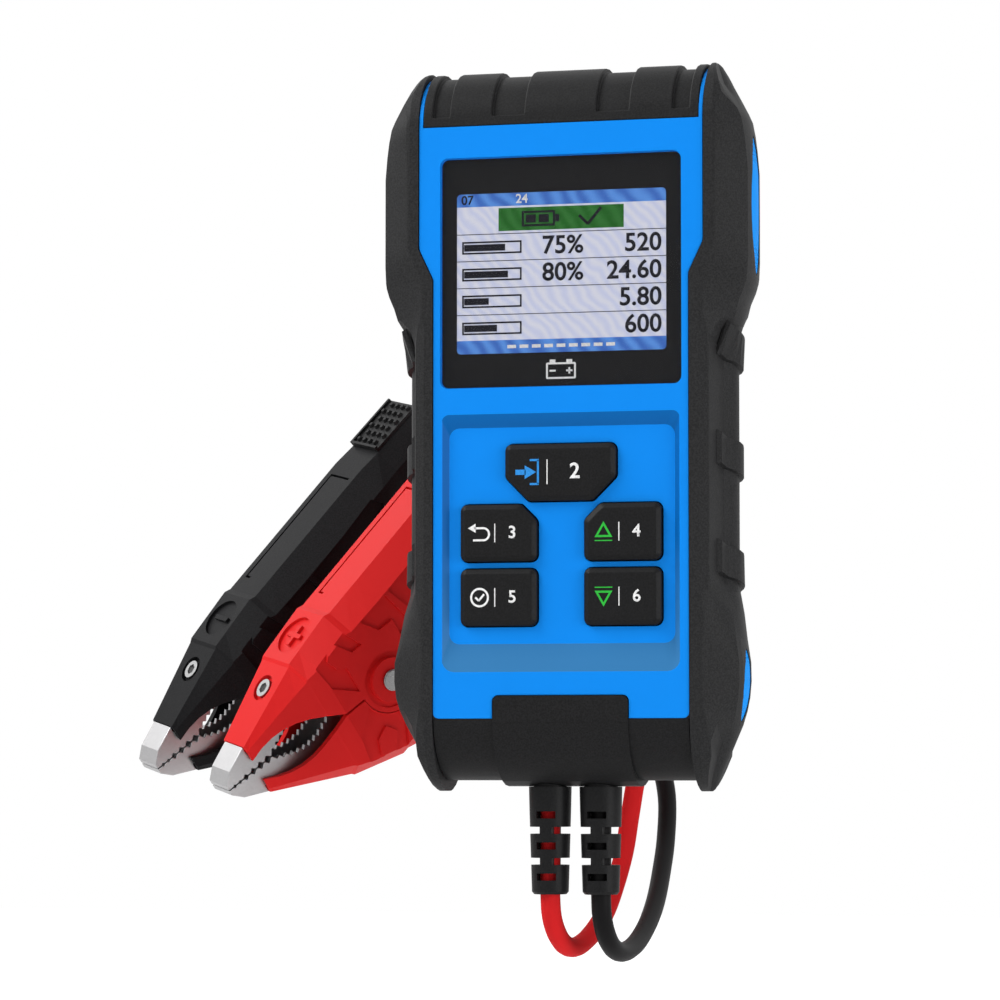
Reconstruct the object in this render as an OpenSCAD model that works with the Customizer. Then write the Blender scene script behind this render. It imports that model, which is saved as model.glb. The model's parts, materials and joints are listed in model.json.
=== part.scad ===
// Handheld battery tester with a colour display, a five-key pad, rubber side guards
// and two clamp leads. Millimetres. +X to the right of the face, +Y into the depth,
// +Z up along the housing. The origin is the centre of the flat back face.

/* [Housing] */
// Thickness from the face to the flat back
body_t = 34; // [30:0.5:40]
// Half width of the face beside the display
face_half_top = 39; // [38:0.5:42]
// Half width of the face beside the keys
face_half_low = 35; // [34:0.5:37]
// Height at which the wide part of the face starts to narrow
shoulder_z = 48.2; // [46:0.5:52]
// Height over which the face narrows
shoulder_drop = 8.4; // [6:0.2:10]
// Height of the seam between the face and the top cover
face_top_z = 81; // [79:0.5:84]
// Height of the seam between the face and the bottom cover
face_low_z = -78; // [-81:0.5:-76]
// Height of the rounded top end above its seam
top_rise = 15.5; // [14:0.5:18]
// Depth of the rounded bottom end below its seam
low_drop = 16.5; // [15:0.5:18]
// Thickness of the moulded walls
wall = 2.2; // [1.8:0.1:2.6]
// Thickness of the front wall that carries the window and the keys
face_wall = 2.6; // [2.4:0.1:3]

/* [Covers] */
// Thickness of the ribbed top cover and of the bottom cover
cover_t = 2.3; // [2:0.1:2.6]
// Depth of the grooves in the top cover
groove_depth = 1.2; // [0.8:0.1:1.5]
// How far the top cover's bands stand above the shell's edges
band_rise = 1.2; // [0.8:0.1:1.6]
// Half width of the bottom cover's tongue
tongue_half = 18.5; // [17:0.5:21]
// Height of the tongue above the bottom seam
tongue_rise = 6; // [4:0.5:8]
// How far the tongue stands proud at the bottom end
tongue_proud = 1.6; // [1:0.1:2]

/* [Guards] */
// Half width over the upper ears
ear_half = 51; // [50:0.5:53]
// Half width over the lower ears
low_ear_half = 48.3; // [47.6:0.1:50]
// Half width at the waist
waist_half = 45.3; // [44.5:0.1:46.5]
// How far the rubber rim stands proud of the face
rim_proud = 0.4; // [0.2:0.1:0.8]
// How far a grip pad stands proud of the guard
pad_proud = 1.2; // [0.8:0.1:1.6]
// Distance between neighbouring grip pads
pad_pitch = 28.9; // [27:0.1:30]
// Height of a grip pad
pad_h = 9.2; // [8:0.2:11]

/* [Display] */
// Width of the window
window_w = 66; // [64:0.5:67]
// Height of the window
window_h = 61.9; // [60:0.1:64]
// Height of the window's centre
window_z = 41.4; // [40:0.2:42]
// Thickness of the window
window_t = 1.4; // [1.2:0.1:1.6]
// Width of the picture
lcd_w = 57.6; // [56:0.2:58]
// Height of the picture
lcd_h = 43.2; // [42:0.2:44]

/* [Keypad] */
// Half width of the recess round the keys
recess_half = 32.7; // [32:0.1:33]
// Top of the recess
recess_top = 3.4; // [2:0.2:5]
// Bottom of the recess
recess_low = -65.9; // [-66.5:0.1:-64]
// Depth of the recess
recess_depth = 1.8; // [1.4:0.1:2]
// Width of a small key
key_w = 21; // [20:0.2:22]
// Height of every key
key_h = 15.2; // [14.8:0.1:15.8]
// Width of the large key
enter_w = 30.3; // [28:0.2:32]
// Distance of the small keys' centres from the middle
key_x = 17; // [16.6:0.1:17.6]
// Height of the large key's centre
enter_z = -12.6; // [-12.8:0.1:-12.2]
// Height of the upper row's centre
row_1_z = -28.6; // [-29:0.1:-28.4]
// Height of the lower row's centre
row_2_z = -45.8; // [-46.4:0.1:-45.6]
// How far a key stands out of the recess floor
key_proud = 2.2; // [1.8:0.1:2.6]
// Travel of a key
key_travel = 0.7; // [0.5:0.05:0.8]

/* [Leads] */
// Distance of each strain relief from the middle
gland_x = 7; // [6.6:0.1:7.6]
// Radius of a strain relief at the housing
gland_r = 5.75; // [5.5:0.05:6]
// Radius of a strain relief at its free end
gland_end_r = 4.95; // [4.7:0.05:5.2]
// Length of a strain relief outside the housing
gland_len = 28.8; // [27:0.2:31]
// Diameter of a lead
lead_d = 5.4; // [5:0.1:5.6]

/* [Clamps] */
// Length from the pivot to the tips of the jaws
jaw_len = 54.5; // [53:0.5:57]
// Length from the pivot to the ends of the handles
handle_len = 71; // [69:0.5:76]
// Height of the outer flat above the middle plane at the pivot
arm_rise = 24.9; // [24:0.1:26]
// Slope of a handle's outer flat, in degrees
handle_slope = 12.5; // [11.5:0.1:13.5]
// Half width of the outer flats
flat_half = 7.5; // [7:0.1:8]
// Half width over the sides of the arms
side_half = 15; // [14.5:0.1:15.6]
// Thickness of the moulded walls of the arms
arm_wall = 2; // [1.8:0.1:2.4]
// Radius of the rivet
rivet_r = 2.5; // [2.2:0.05:2.8]
// Half width of the metal jaws
jaw_half = 5.1; // [4.8:0.1:5.3]
// Thickness of the jaws' metal
jaw_t = 1.2; // [1:0.1:1.4]
// Number of round notches along the closed part of the jaws
notches = 4; // [2:1:4]

/* [Hidden] */

BLUE = "#1783EE";
BLACK = "#26272A";
RUBBER = "#303134";
KEY_BLACK = "#232427";
RED = "#E3262B";
METAL = "#C9CACB";
BOARD = "#1E6B45";

fit = 0.2;                       // gap between moulded pieces that lie side by side
slip = 0.05;                     // radial clearance of a turning or threaded fit
mid_y = -body_t / 2;             // plane in which the two shells meet
front_y = -body_t;
low_z = face_low_z - low_drop;
arc_n = 8;                       // straight steps in a quarter turn
neck = cover_t + fit;            // how far the shells step in under the covers
corner_r = 2.5;

// ---- outlines -----------------------------------------------------------------------

// A closed outline whose corners are arcs. Each point is [x, y, radius].
function rounded(pts) = [for (i = [0:len(pts) - 1])
    let (p = pts[i], a = pts[(i + len(pts) - 1) % len(pts)], b = pts[(i + 1) % len(pts)],
         c = [p[0], p[1]],
         u = ([a[0], a[1]] - c) / norm([a[0], a[1]] - c),
         v = ([b[0], b[1]] - c) / norm([b[0], b[1]] - c),
         half = acos(max(-1, min(1, u * v))) / 2,
         back = p[2] / tan(half),
         o = c + (u + v) / norm(u + v) * p[2] / sin(half),
         s = c + u * back - o, e = c + v * back - o,
         s0 = atan2(s[1], s[0]), turn = atan2(e[1], e[0]) - s0,
         sweep = turn > 180 ? turn - 360 : turn < -180 ? turn + 360 : turn,
         n = p[2] == 0 ? 0 : max(2, round(abs(sweep) / 18)))
    each n == 0 ? [c] : [for (k = [0:n]) o + p[2] * [cos(s0 + sweep * k / n), sin(s0 + sweep * k / n)]]];

function box_outline(w, h, r) = rounded([[-w / 2, -h / 2, r], [w / 2, -h / 2, r],
    [w / 2, h / 2, r], [-w / 2, h / 2, r]]);

// Side profile of the housing in Y and Z, drawn in by dy on the flats and dz at the ends.
function side_profile(dy, dz, rise = top_rise, drop = low_drop) = let (ry = body_t / 2 - dy) [
    for (k = [0:2 * arc_n]) let (a = 180 * k / (2 * arc_n))
        [mid_y + ry * cos(a), face_top_z + (rise - dz) * sin(a)],
    for (k = [0:2 * arc_n]) let (a = 180 + 180 * k / (2 * arc_n))
        [mid_y + ry * cos(a), face_low_z + (drop - dz) * sin(a)]];

// Front outline of the housing in X and Z, drawn in by d.
function face_outline(d) = let (t = face_half_top - d, l = face_half_low - d,
    s = shoulder_z - d * 0.45, e = shoulder_z - shoulder_drop - d * 0.45) rounded([
    [-l, low_z - 5, 0], [l, low_z - 5, 0], [l, e, 3], [t, s, 3],
    [t, face_top_z + top_rise + 5, 0], [-t, face_top_z + top_rise + 5, 0], [-t, s, 3], [-l, e, 3]]);

module along_x(pts, half) {
    translate([-half, 0, 0]) rotate([90, 0, 90]) linear_extrude(2 * half) polygon(pts);
}

module along_y(pts, y0, y1) {
    translate([0, y1, 0]) rotate([90, 0, 0]) linear_extrude(y1 - y0) polygon(pts);
}

module post(x, z, r, y0, y1) {
    translate([x, y0, z]) rotate([-90, 0, 0]) cylinder(h = y1 - y0, r = r, $fn = 40);
}

module block(x0, x1, y0, y1, z0, z1) {
    translate([x0, y0, z0]) cube([x1 - x0, y1 - y0, z1 - z0]);
}

// A closed skin over rings of points, from the first ring to the last. An open channel
// or a curved band takes strip ends, which join its two long sides step by step.
module skin(rings, strip = false) {
    m = len(rings[0]);
    n = len(rings);
    ends = strip ? [for (i = [0:m / 2 - 2]) [i, i + 1, m - 2 - i, m - 1 - i]] : [[for (i = [0:m - 1]) i]];
    polyhedron([for (r = rings) each r], concat(
        ends,
        [for (k = [0:n - 2]) for (i = [0:m - 1]) let (j = (i + 1) % m)
            each [[k * m + i, (k + 1) * m + i, k * m + j], [k * m + j, (k + 1) * m + i, (k + 1) * m + j]]],
        [for (f = ends) [for (i = [len(f) - 1:-1:0]) (n - 1) * m + f[i]]]));
}

// ---- shells and covers --------------------------------------------------------------

screw_r = 1.5;
boss_r = 3.5;
screw_top = [29.5, 74.5];
screw_low = [28.5, -71];
screw_sites = [for (s = [-1, 1]) each [[s * screw_top[0], screw_top[1]], [s * screw_low[0], screw_low[1]]]];
boss_end = mid_y + 3;            // where the front bosses meet the rear ones
cavity_front = front_y + face_wall;
floor_y = front_y + recess_depth;
pan_y = floor_y + 2;             // inner side of the wall behind the recess
strip = 1.1;                     // the face's narrow edge beside the top cover
cover_half = face_half_top - strip;

module shell_cavity() {
    intersection() {
        along_y(face_outline(wall), front_y, 0);
        union() {
            block(-60, 60, cavity_front, -wall, face_low_z + wall, face_top_z - wall);
            along_x(side_profile(neck + wall, neck + wall), 60);
        }
    }
}

// Everything outside the necks that the two covers slide over.
module under_covers() {
    difference() {
        union() {
            block(-cover_half - 0.1, cover_half + 0.1, front_y - 1, 1, face_top_z, face_top_z + 30);
            block(-60, 60, front_y - 1, 1, face_low_z - 30, face_low_z);
        }
        along_x(side_profile(neck, neck), 70);
    }
    along_y(tongue_outline(fit), front_y - 1, front_y + 1.5);
}

tongue_r = 1.6;

// The tongue where it lies over the face, with room g round it.
function tongue_outline(g) = let (w = tongue_half + g, h = face_low_z + tongue_rise + g)
    rounded([[-w, face_low_z - 1, 0], [w, face_low_z - 1, 0], [w, h, tongue_r], [-w, h, tongue_r]]);

module gland_holes(r) {
    for (s = [-1, 1]) translate([s * gland_x, mid_y, low_z - 10]) cylinder(h = low_drop, r = r, $fn = 48);
}

// Flat seats for the collars of the strain reliefs, in the curved end wall.
module gland_seat(y0, y1) {
    intersection() {
        along_x(side_profile(neck, neck), gland_x + gland_r + 1.5);
        block(-60, 60, y0, y1, low_z, gland_seat_z);
    }
}

module key_hole_shapes(grow, y0, y1) {
    along_y([for (p = key_shape_enter(grow)) p], y0, y1);
    for (k = [0:3]) along_y(small_key_shape(k, grow), y0, y1);
}

module front_shell() {
    color(BLUE) difference() {
        union() {
            difference() {
                intersection() {
                    along_y(face_outline(0), front_y, mid_y);
                    along_x(side_profile(0, 0), 60);
                }
                shell_cavity();
            }
            intersection() {
                along_y(face_outline(wall / 2), cavity_front - 0.5, pan_y);
                block(-recess_half, recess_half, front_y, 0, recess_low, recess_top);
            }
            for (p = screw_sites) post(p[0], p[1], boss_r, cavity_front - 0.5, boss_end - fit);
            for (p = board_sites) post(p[0], p[1], 2.6, cavity_front - 0.5, board_y - 0.05);
            gland_seat(mid_y - gland_r - 1, mid_y);
        }
        under_covers();
        along_y([for (p = box_outline(window_w + 0.3, window_h + 0.3, 2.2)) p + [0, window_z]],
            front_y - 1, front_y + window_t);
        along_y([for (p = box_outline(panel_w + 2 * fit, panel_h + 2 * fit, 0.6)) p + [0, lcd_z]],
            front_y, cavity_front + 1);
        recess_pocket();
        key_hole_shapes(0.3, front_y, pan_y + 1);
        for (p = screw_sites) post(p[0], p[1], screw_r + slip, boss_end - 12, boss_end + 1);
        for (p = board_sites) post(p[0], p[1], 1 + slip, board_y - 5, board_y + 1);
        gland_holes(gland_neck_r + 0.1);
    }
}

recess_side = 1.8;               // run of the sloping walls at the sides
recess_over = 3.8;               // run of the sloping wall above the keys
recess_under = 8;                // run of the sloping wall below the keys

module recess_pocket() {
    hull() {
        along_y(rounded([[-recess_half, recess_low, 3.5], [recess_half, recess_low, 3.5],
            [recess_half, recess_top, 2], [-recess_half, recess_top, 2]]), front_y - 0.01, front_y);
        along_y(rounded([
            [-recess_half + recess_side, recess_low + recess_under, 2.8],
            [recess_half - recess_side, recess_low + recess_under, 2.8],
            [recess_half - recess_side, recess_top - recess_over, 2.8],
            [-recess_half + recess_side, recess_top - recess_over, 2.8]]), floor_y - 0.01, floor_y);
    }
}

module rear_shell() {
    color(BLACK) difference() {
        union() {
            difference() {
                intersection() {
                    along_y(face_outline(0), mid_y, 0);
                    along_x(side_profile(0, 0), 60);
                }
                shell_cavity();
            }
            for (p = screw_sites) post(p[0], p[1], boss_r, boss_end, -wall + 0.5);
            gland_seat(mid_y, mid_y + gland_r + 1);
        }
        under_covers();
        for (p = screw_sites) {
            post(p[0], p[1], screw_r + 0.1, boss_end - 1, 1);
            post(p[0], p[1], screw_head_r + 0.2, -screw_head_t - 0.6, 1);
        }
        gland_holes(gland_neck_r + 0.1);
    }
}

// Grooves of the top cover: [inner edge, outer edge] of each, on both sides of the middle.
cover_grooves = [[9.9, 18.9], [30.6, 35.4]];
cover_border = 2.7;

module top_cover() {
    color(BLACK) difference() {
        intersection() {
            along_x(side_profile(0, -band_rise), cover_half);
            block(-60, 60, front_y - 1, 1, face_top_z + fit / 2, face_top_z + 40);
        }
        along_x(side_profile(cover_t, cover_t), 60);
        for (s = [-1, 1]) for (g = cover_grooves) difference() {
            block(min(s * g[0], s * g[1]), max(s * g[0], s * g[1]), front_y - 1, 1,
                face_top_z + cover_border, face_top_z + 40);
            along_x(side_profile(groove_depth, groove_depth - band_rise), 60);
        }
    }
}

module bottom_cover() {
    color(BLACK) difference() {
        union() {
            intersection() {
                along_x(side_profile(0, 0), face_half_low - fit / 2);
                block(-60, 60, front_y - 1, 1, low_z - 10, face_low_z - fit / 2);
            }
            intersection() {
                along_x(side_profile(-rim_proud, -tongue_proud), tongue_half);
                block(-60, 60, front_y - 1, -wall, low_z - 10, face_low_z - fit / 2);
            }
            along_y(tongue_outline(0), front_y - rim_proud, front_y + 1.4);
        }
        difference() {
            along_x(side_profile(cover_t, cover_t), 60);
            block(-60, 60, front_y - 2, front_y + cover_t + 0.1, face_low_z - 0.5, face_low_z + 20);
        }
        gland_holes(gland_neck_r + 0.05);
    }
}

// ---- rubber guards ------------------------------------------------------------------

guard_front = front_y - rim_proud;
guard_back = -fit;
guard_mid = (guard_front + guard_back) / 2;
guard_rise = top_rise + 1.5;
guard_drop = low_drop + 3;
guard_top = face_top_z + guard_rise;
guard_low = face_low_z - guard_drop;

// Inner edge of the rim.
function guard_inner(z) = lookup(z, [
    [shoulder_z - shoulder_drop, face_half_low + fit], [shoulder_z, face_half_top + fit]]);

// Outer silhouette: waist, flared ears and the chamfers that lead to the tips.
function guard_outer(z) = lookup(z, [
    [guard_low, low_ear_half - 10.7], [guard_low + 0.6, low_ear_half - 9.9],
    [guard_low + 1.8, low_ear_half - 9.1], [face_low_z - 1.8, low_ear_half - 2.2],
    [face_low_z + 2, low_ear_half - 1.1], [face_low_z + 5.5, low_ear_half - 0.4],
    [face_low_z + 10, low_ear_half], [face_low_z + 15, low_ear_half - 0.1],
    [face_low_z + 21, low_ear_half - 1], [face_low_z + 28, waist_half + 1.2],
    [face_low_z + 33.5, waist_half + 0.2], [face_low_z + 38, waist_half],
    [shoulder_z - 28.2, waist_half], [shoulder_z - 25.2, waist_half + 0.2],
    [shoulder_z - 21.8, waist_half + 1], [shoulder_z - 18.6, waist_half + 2.4],
    [shoulder_z - 15.4, ear_half - 2.5], [shoulder_z - 12.2, ear_half - 1.1],
    [shoulder_z - 9.8, ear_half - 0.4], [shoulder_z - 7, ear_half],
    [face_top_z - 13, ear_half], [face_top_z - 7, ear_half - 0.5], [face_top_z - 3, ear_half - 1],
    [face_top_z + 0.6, ear_half - 1.7], [face_top_z + 3, ear_half - 2.8],
    [guard_top - 2.5, ear_half - 9.1], [guard_top - 1, ear_half - 10], [guard_top, ear_half - 11.2]]);

guard_stations = [
    guard_low + 0.15, guard_low + 0.6, guard_low + 1.8, guard_low + 3.5, guard_low + 6, guard_low + 9.5,
    guard_low + 13.5, face_low_z - 1.8, face_low_z + 2, face_low_z + 5.5, face_low_z + 10, face_low_z + 15,
    face_low_z + 21, face_low_z + 28, face_low_z + 33.5, face_low_z + 38,
    shoulder_z - 28.2, shoulder_z - 25.2, shoulder_z - 21.8, shoulder_z - 18.6, shoulder_z - 15.4,
    shoulder_z - 12.2, shoulder_z - 9.8, shoulder_z - shoulder_drop, shoulder_z - 4, shoulder_z,
    face_top_z - 20, face_top_z - 13, face_top_z - 7, face_top_z - 3, face_top_z + 0.6, face_top_z + 3,
    face_top_z + 7, face_top_z + 10.5, guard_top - 4, guard_top - 2.5, guard_top - 1.2, guard_top - 0.5,
    guard_top - 0.15];

// How much of the full thickness is left at a height, as both ends round over.
function end_share(z) = z > face_top_z ? sqrt(1 - pow((z - face_top_z) / guard_rise, 2))
    : z < face_low_z ? sqrt(1 - pow((face_low_z - z) / guard_drop, 2)) : 1;

side_steps = 6;
ear_r = 36;                      // radius of the nearly flat broad side of an ear
ear_half_y = 8;                  // half the depth of that side
ear_full = 2.8;                  // how far past the waist an ear has its whole breadth
crease_lift = 0.7;               // how far the sweeping crease stands out

// Outer boundary of the guard at a height, from the front rim round the side to the back
// rim. ear is 0 in the waist, with its tight round side, and 1 on the broad ears. A crease
// runs beside the rim in the waist and sweeps out across the ears.
function guard_path(z) = let (
    xi = guard_inner(z), xr = guard_outer(z), w = xr - xi,
    ear = max(0, min(1, (xr - waist_half) / ear_full)),
    r = mix(7.5, ear_r, ear), a = mix(6, ear_half_y, ear), cy = mix(guard_mid - 0.7, inset_y, ear),
    squeeze = min(1, 0.1 * w), g = end_share(z),
    rim = [xi + min(3.4 + 1.6 * (1 - ear), 0.68 * w), guard_front + 0.3 + 0.9 * (1 - ear)],
    edge = [xr - squeeze * (r - sqrt(r * r - a * a)), cy - a],
    t = 0.05 + 0.9 * ear, out = [edge[1] - rim[1], rim[0] - edge[0]] / norm(edge - rim)) [for (p = [
        [xi, guard_front],
        [xi + min(2.4, 0.45 * w), guard_front],
        rim,
        mix(rim, edge, t) + out * crease_lift * 4 * t * (1 - t) * squeeze,
        for (k = [0:side_steps]) let (y = a * (2 * k / side_steps - 1))
            [xr - squeeze * (r - sqrt(r * r - y * y)), cy + y],
        [xi + min(5, 0.68 * w), guard_back - 1.3],
        [xi + min(3, 0.45 * w), guard_back],
        [xi, guard_back]]) [p[0], guard_mid + (p[1] - guard_mid) * g]];

// Outward normal of a path at one of its inner points.
function path_normal(path, i) = let (d = path[min(i + 1, len(path) - 1)] - path[max(i - 1, 0)])
    [-d[1], d[0]] / norm(d) * -1;

function mix(a, b, t) = a + (b - a) * t;

// The stretch of the boundary that a grip pad wraps, moved outwards by lift.
function pad_path(z, lift) = let (p = guard_path(z), n = len(p),
    c = concat([mix(p[3], p[4], 0.5), mix(p[3], p[4], 0.6)], [for (i = [4:n - 4]) p[i]],
        [mix(p[n - 4], p[n - 3], 0.66), mix(p[n - 4], p[n - 3], 0.75)]))
    [for (i = [0:len(c) - 1]) c[i] + lift * path_normal(c, i)];

pad_top = shoulder_z - 20.8;     // front corner of the uppermost pad
pad_slope = 0.3;                 // how steeply a pad falls on its way to the back

module grip_pad(top) {
    mid = pad_path(top - pad_h, 0);
    n = len(mid);
    skin([for (i = [0:n - 1])
        let (hi = top - pad_slope * (mid[i][1] - mid[0][1]), lo = hi - pad_h,
             inner = i > 0 && i < n - 1, e = inner ? 0.5 : 0, up = pad_proud * (inner ? 1 : 0.05),
             a = pad_path(hi, -0.6)[i], b = pad_path(hi, up)[i],
             c = pad_path(lo, up)[i], d = pad_path(lo, -0.6)[i])
        [[a[0], a[1], hi], [b[0], b[1], hi - e], [c[0], c[1], lo + e], [d[0], d[1], lo]]]);
}

inset_gap = 0.15;
inset_y = guard_mid - 3.2;       // middle of an inset on the broad side of an ear

// Broad side of an ear: X at a depth and a height.
function ear_side(y, z) = guard_outer(z) - ear_r + sqrt(pow(ear_r, 2) - pow(y - inset_y, 2));

// A lens that lies in the side of an ear, from depth lo to depth hi under its surface.
module lens(z0, z1, half, lo, hi, grow) {
    n = 12;
    m = 6;
    zc = (z0 + z1) / 2;
    hz = (z1 - z0) / 2 + grow;
    function at(z, k, under) = let (w = (half + grow) * pow(1 - pow((z - zc) / hz, 2), 0.75) + 0.05,
        y = inset_y + w * (2 * k / m - 1)) [ear_side(y, z) - under, y, z];
    skin([for (i = [0:n]) let (z = zc - hz * cos(180 * (0.03 + 0.94 * i / n)))
        concat([for (k = [0:m]) at(z, k, lo)], [for (k = [m:-1:0]) at(z, k, hi)])], true);
}

upper_lens = [shoulder_z - 8.2, shoulder_z + 29.3, 5.2];
lower_lens = [face_low_z - 0.8, face_low_z + 18.4, 4.2];
lens_depth = 1.4;

module guard() {
    difference() {
        union() {
            skin([for (z = guard_stations) [for (p = guard_path(z)) [p[0], p[1], z]]]);
            for (k = [0:2]) grip_pad(pad_top - k * pad_pitch);
        }
        for (l = [upper_lens, lower_lens]) lens(l[0], l[1], l[2], -3, lens_depth, inset_gap);
    }
}

module inset(l) {
    lens(l[0], l[1], l[2], 0.25, lens_depth - inset_gap, 0);
}

module right_guard() { color(RUBBER) guard(); }
module left_guard() { color(RUBBER) mirror([1, 0, 0]) guard(); }
module right_upper_inset() { color(BLUE) inset(upper_lens); }
module right_lower_inset() { color(BLUE) inset(lower_lens); }
module left_upper_inset() { color(BLUE) mirror([1, 0, 0]) inset(upper_lens); }
module left_lower_inset() { color(BLUE) mirror([1, 0, 0]) inset(lower_lens); }

// ---- display and electronics --------------------------------------------------------

lcd_z = window_z - 0.2;
panel_w = lcd_w + 5.4;
panel_h = lcd_h + 6.8;
panel_t = 2.6;
panel_y = front_y + window_t + 0.1;
board_t = 1.6;
board_y = pan_y + 4.9;           // front side of the board
board_half = 31.2;
board_low = face_low_z + 5;
board_top = face_top_z - 3;
board_sites = [for (s = [-1, 1]) each [[s * 29, 6.5], [s * 27.5, -61.5]]];

module display_window() {
    color("#151517") along_y([for (p = box_outline(window_w, window_h, 2)) p + [0, window_z]],
        front_y, front_y + window_t - 0.05);
}

module lcd_panel() {
    color("#B9C3D6") along_y([for (p = box_outline(panel_w, panel_h, 0.5)) p + [0, lcd_z]],
        panel_y, panel_y + panel_t);
}

module lcd_holder() {
    color("#D9D9D6") difference() {
        along_y([for (p = box_outline(panel_w + 2, panel_h + 3, 1.2)) p + [0, lcd_z]],
            cavity_front + fit, board_y - 0.05);
        along_y([for (p = box_outline(panel_w + 0.2, panel_h + 0.2, 0.6)) p + [0, lcd_z]],
            cavity_front - 1, panel_y + panel_t + 0.05);
        along_y([for (p = box_outline(panel_w - 6, panel_h - 6, 2)) p + [0, lcd_z]], cavity_front, board_y + 1);
    }
}

module main_board() {
    color(BOARD) difference() {
        along_y([for (p = box_outline(2 * board_half, board_top - board_low, 2))
            p + [0, (board_top + board_low) / 2]], board_y, board_y + board_t);
        for (p = screw_sites) post(p[0], p[1], boss_r + 0.5, board_y - 1, board_y + board_t + 1);
        for (p = board_sites) post(p[0], p[1], 1.2, board_y - 1, board_y + board_t + 1);
    }
}

mat_t = 1;
dome_h = 1.6;

module keypad_mat() {
    color("#8C8F94") {
        difference() {
            along_y([for (p = box_outline(2 * key_x + key_w + 5.4, enter_z - row_2_z + key_h + 3.6, 3))
                p + [0, (enter_z + row_2_z) / 2]],
                board_y - fit / 2 - mat_t, board_y - fit / 2);
            for (c = key_centres) post(c[0], c[1], 4.2, board_y - 3, board_y);
            for (p = board_sites) post(p[0], p[1], 3.2, board_y - 3, board_y);
        }
        for (c = key_centres) difference() {
            translate([c[0], board_y - fit / 2 - mat_t - dome_h, c[1]]) rotate([-90, 0, 0])
                cylinder(h = dome_h + mat_t, r1 = 3.6, r2 = 5, $fn = 40);
            translate([c[0], board_y - fit / 2 - mat_t - dome_h + 1, c[1]]) rotate([-90, 0, 0])
                cylinder(h = dome_h + mat_t, r1 = 2.6, r2 = 4.2, $fn = 40);
        }
    }
}

module key_switches() {
    color(METAL) for (c = key_centres) post(c[0], c[1], 2.5, board_y - 0.4, board_y);
}

back_y = board_y + board_t;

module buzzer() {
    color(BLACK) difference() {
        post(-14, 58, 6, back_y, back_y + 5.5);
        post(-14, 58, 1, back_y + 4, back_y + 6);
    }
}

module load_relay() {
    color("#2B4F8C") along_y([for (p = box_outline(19, 15.4, 0.8)) p + [14, -36]], back_y, back_y + 15);
}

module load_resistor() {
    color("#E4E1D6") along_y([for (p = box_outline(9.5, 38, 0.8)) p + [-16, -30]], back_y, back_y + 9);
}

terminal_low = board_low - 3.4;

module lead_terminals() {
    color("#C9A227") for (s = [-1, 1])
        block(s * gland_x - 4, s * gland_x + 4, back_y, mid_y + 4, terminal_low, board_low + 8);
}

screw_head_r = 2.7;
screw_head_t = 1.8;

module case_screws() {
    color(METAL) for (p = screw_sites) difference() {
        union() {
            post(p[0], p[1], screw_r, boss_end - 10, -screw_head_t);
            post(p[0], p[1], screw_head_r, -screw_head_t - 0.6, -0.6);
        }
        cross_recess(p[0], p[1], -0.6, 2.6);
    }
}

// The cross cut in the head of a screw that faces the back.
module cross_recess(x, z, y, long) {
    for (a = [0, 90]) translate([x, y, z]) rotate([0, a, 0])
        translate([-long / 2, -1, -0.35]) cube([long, 2, 0.7]);
}

module board_screws() {
    color(METAL) for (p = board_sites) difference() {
        union() {
            post(p[0], p[1], 1, board_y - 4.5, back_y + 0.1);
            post(p[0], p[1], 2, back_y, back_y + 1.2);
        }
        cross_recess(p[0], p[1], back_y + 1.2, 2.2);
    }
}

// ---- keys ---------------------------------------------------------------------------

key_corner = 1.8;
enter_cut = 6.4;
small_cut = 4.4;
key_bevel = 1.3;                 // run of the sloping edge round a key's face
flange = 1;
key_centres = [[0, enter_z], [-key_x, row_1_z], [key_x, row_1_z], [-key_x, row_2_z], [key_x, row_2_z]];

// The large key: a bar whose two lower corners are cut off.
function key_shape_enter(g) = let (w = enter_w / 2 + g, h = key_h / 2 + g, c = enter_cut + 0.4 * g)
    [for (p = rounded([[-w, h, key_corner + g], [-w, -h + c, key_corner], [-w + c, -h, key_corner],
        [w - c, -h, key_corner], [w, -h + c, key_corner], [w, h, key_corner + g]])) p + [0, enter_z]];

// A small key. The two in the upper row lose the corner that faces the large key.
function small_key_shape(k, g) = let (w = key_w / 2 + g, h = key_h / 2 + g, c = small_cut + 0.4 * g,
    s = k % 2 == 0 ? 1 : -1, r = key_corner + g,
    o = k < 2 ? [[w - c, h, key_corner], [w, h - c, key_corner]] : [[w, h, r]])
    [for (p = rounded(concat([[-w, -h, r], [w, -h, r]], [for (i = [len(o) - 1:-1:0]) o[i]], [[-w, h, r]])))
        [s * p[0], p[1]] + key_centres[k + 1]];

key_top = floor_y - key_proud;
key_rear = board_y - fit / 2 - mat_t - dome_h - key_travel - 0.1;

// body, bevelled face and the flange that keeps a key behind the wall.
module key_cap(shape0, shape_in, shape_out) {
    color(KEY_BLACK) {
        along_y(shape0, key_top + 0.9, pan_y + fit / 2 + flange);
        hull() {
            along_y(shape0, key_top + 0.9, key_top + 0.91);
            along_y(shape_in, key_top, key_top + 0.01);
        }
        along_y(shape_out, pan_y + fit / 2, pan_y + fit / 2 + flange);
    }
}

module stem(c) {
    color(KEY_BLACK) post(c[0], c[1], 3, pan_y, key_rear);
}

module key_enter() {
    key_cap(key_shape_enter(0), key_shape_enter(-key_bevel), key_shape_enter(0.8));
    stem(key_centres[0]);
}

module small_key(k) {
    key_cap(small_key_shape(k, 0), small_key_shape(k, -key_bevel), small_key_shape(k, 0.8));
    stem(key_centres[k + 1]);
}

module key_back() { small_key(0); }
module key_up() { small_key(1); }
module key_check() { small_key(2); }
module key_down() { small_key(3); }

// ---- strain reliefs and leads -------------------------------------------------------

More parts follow.
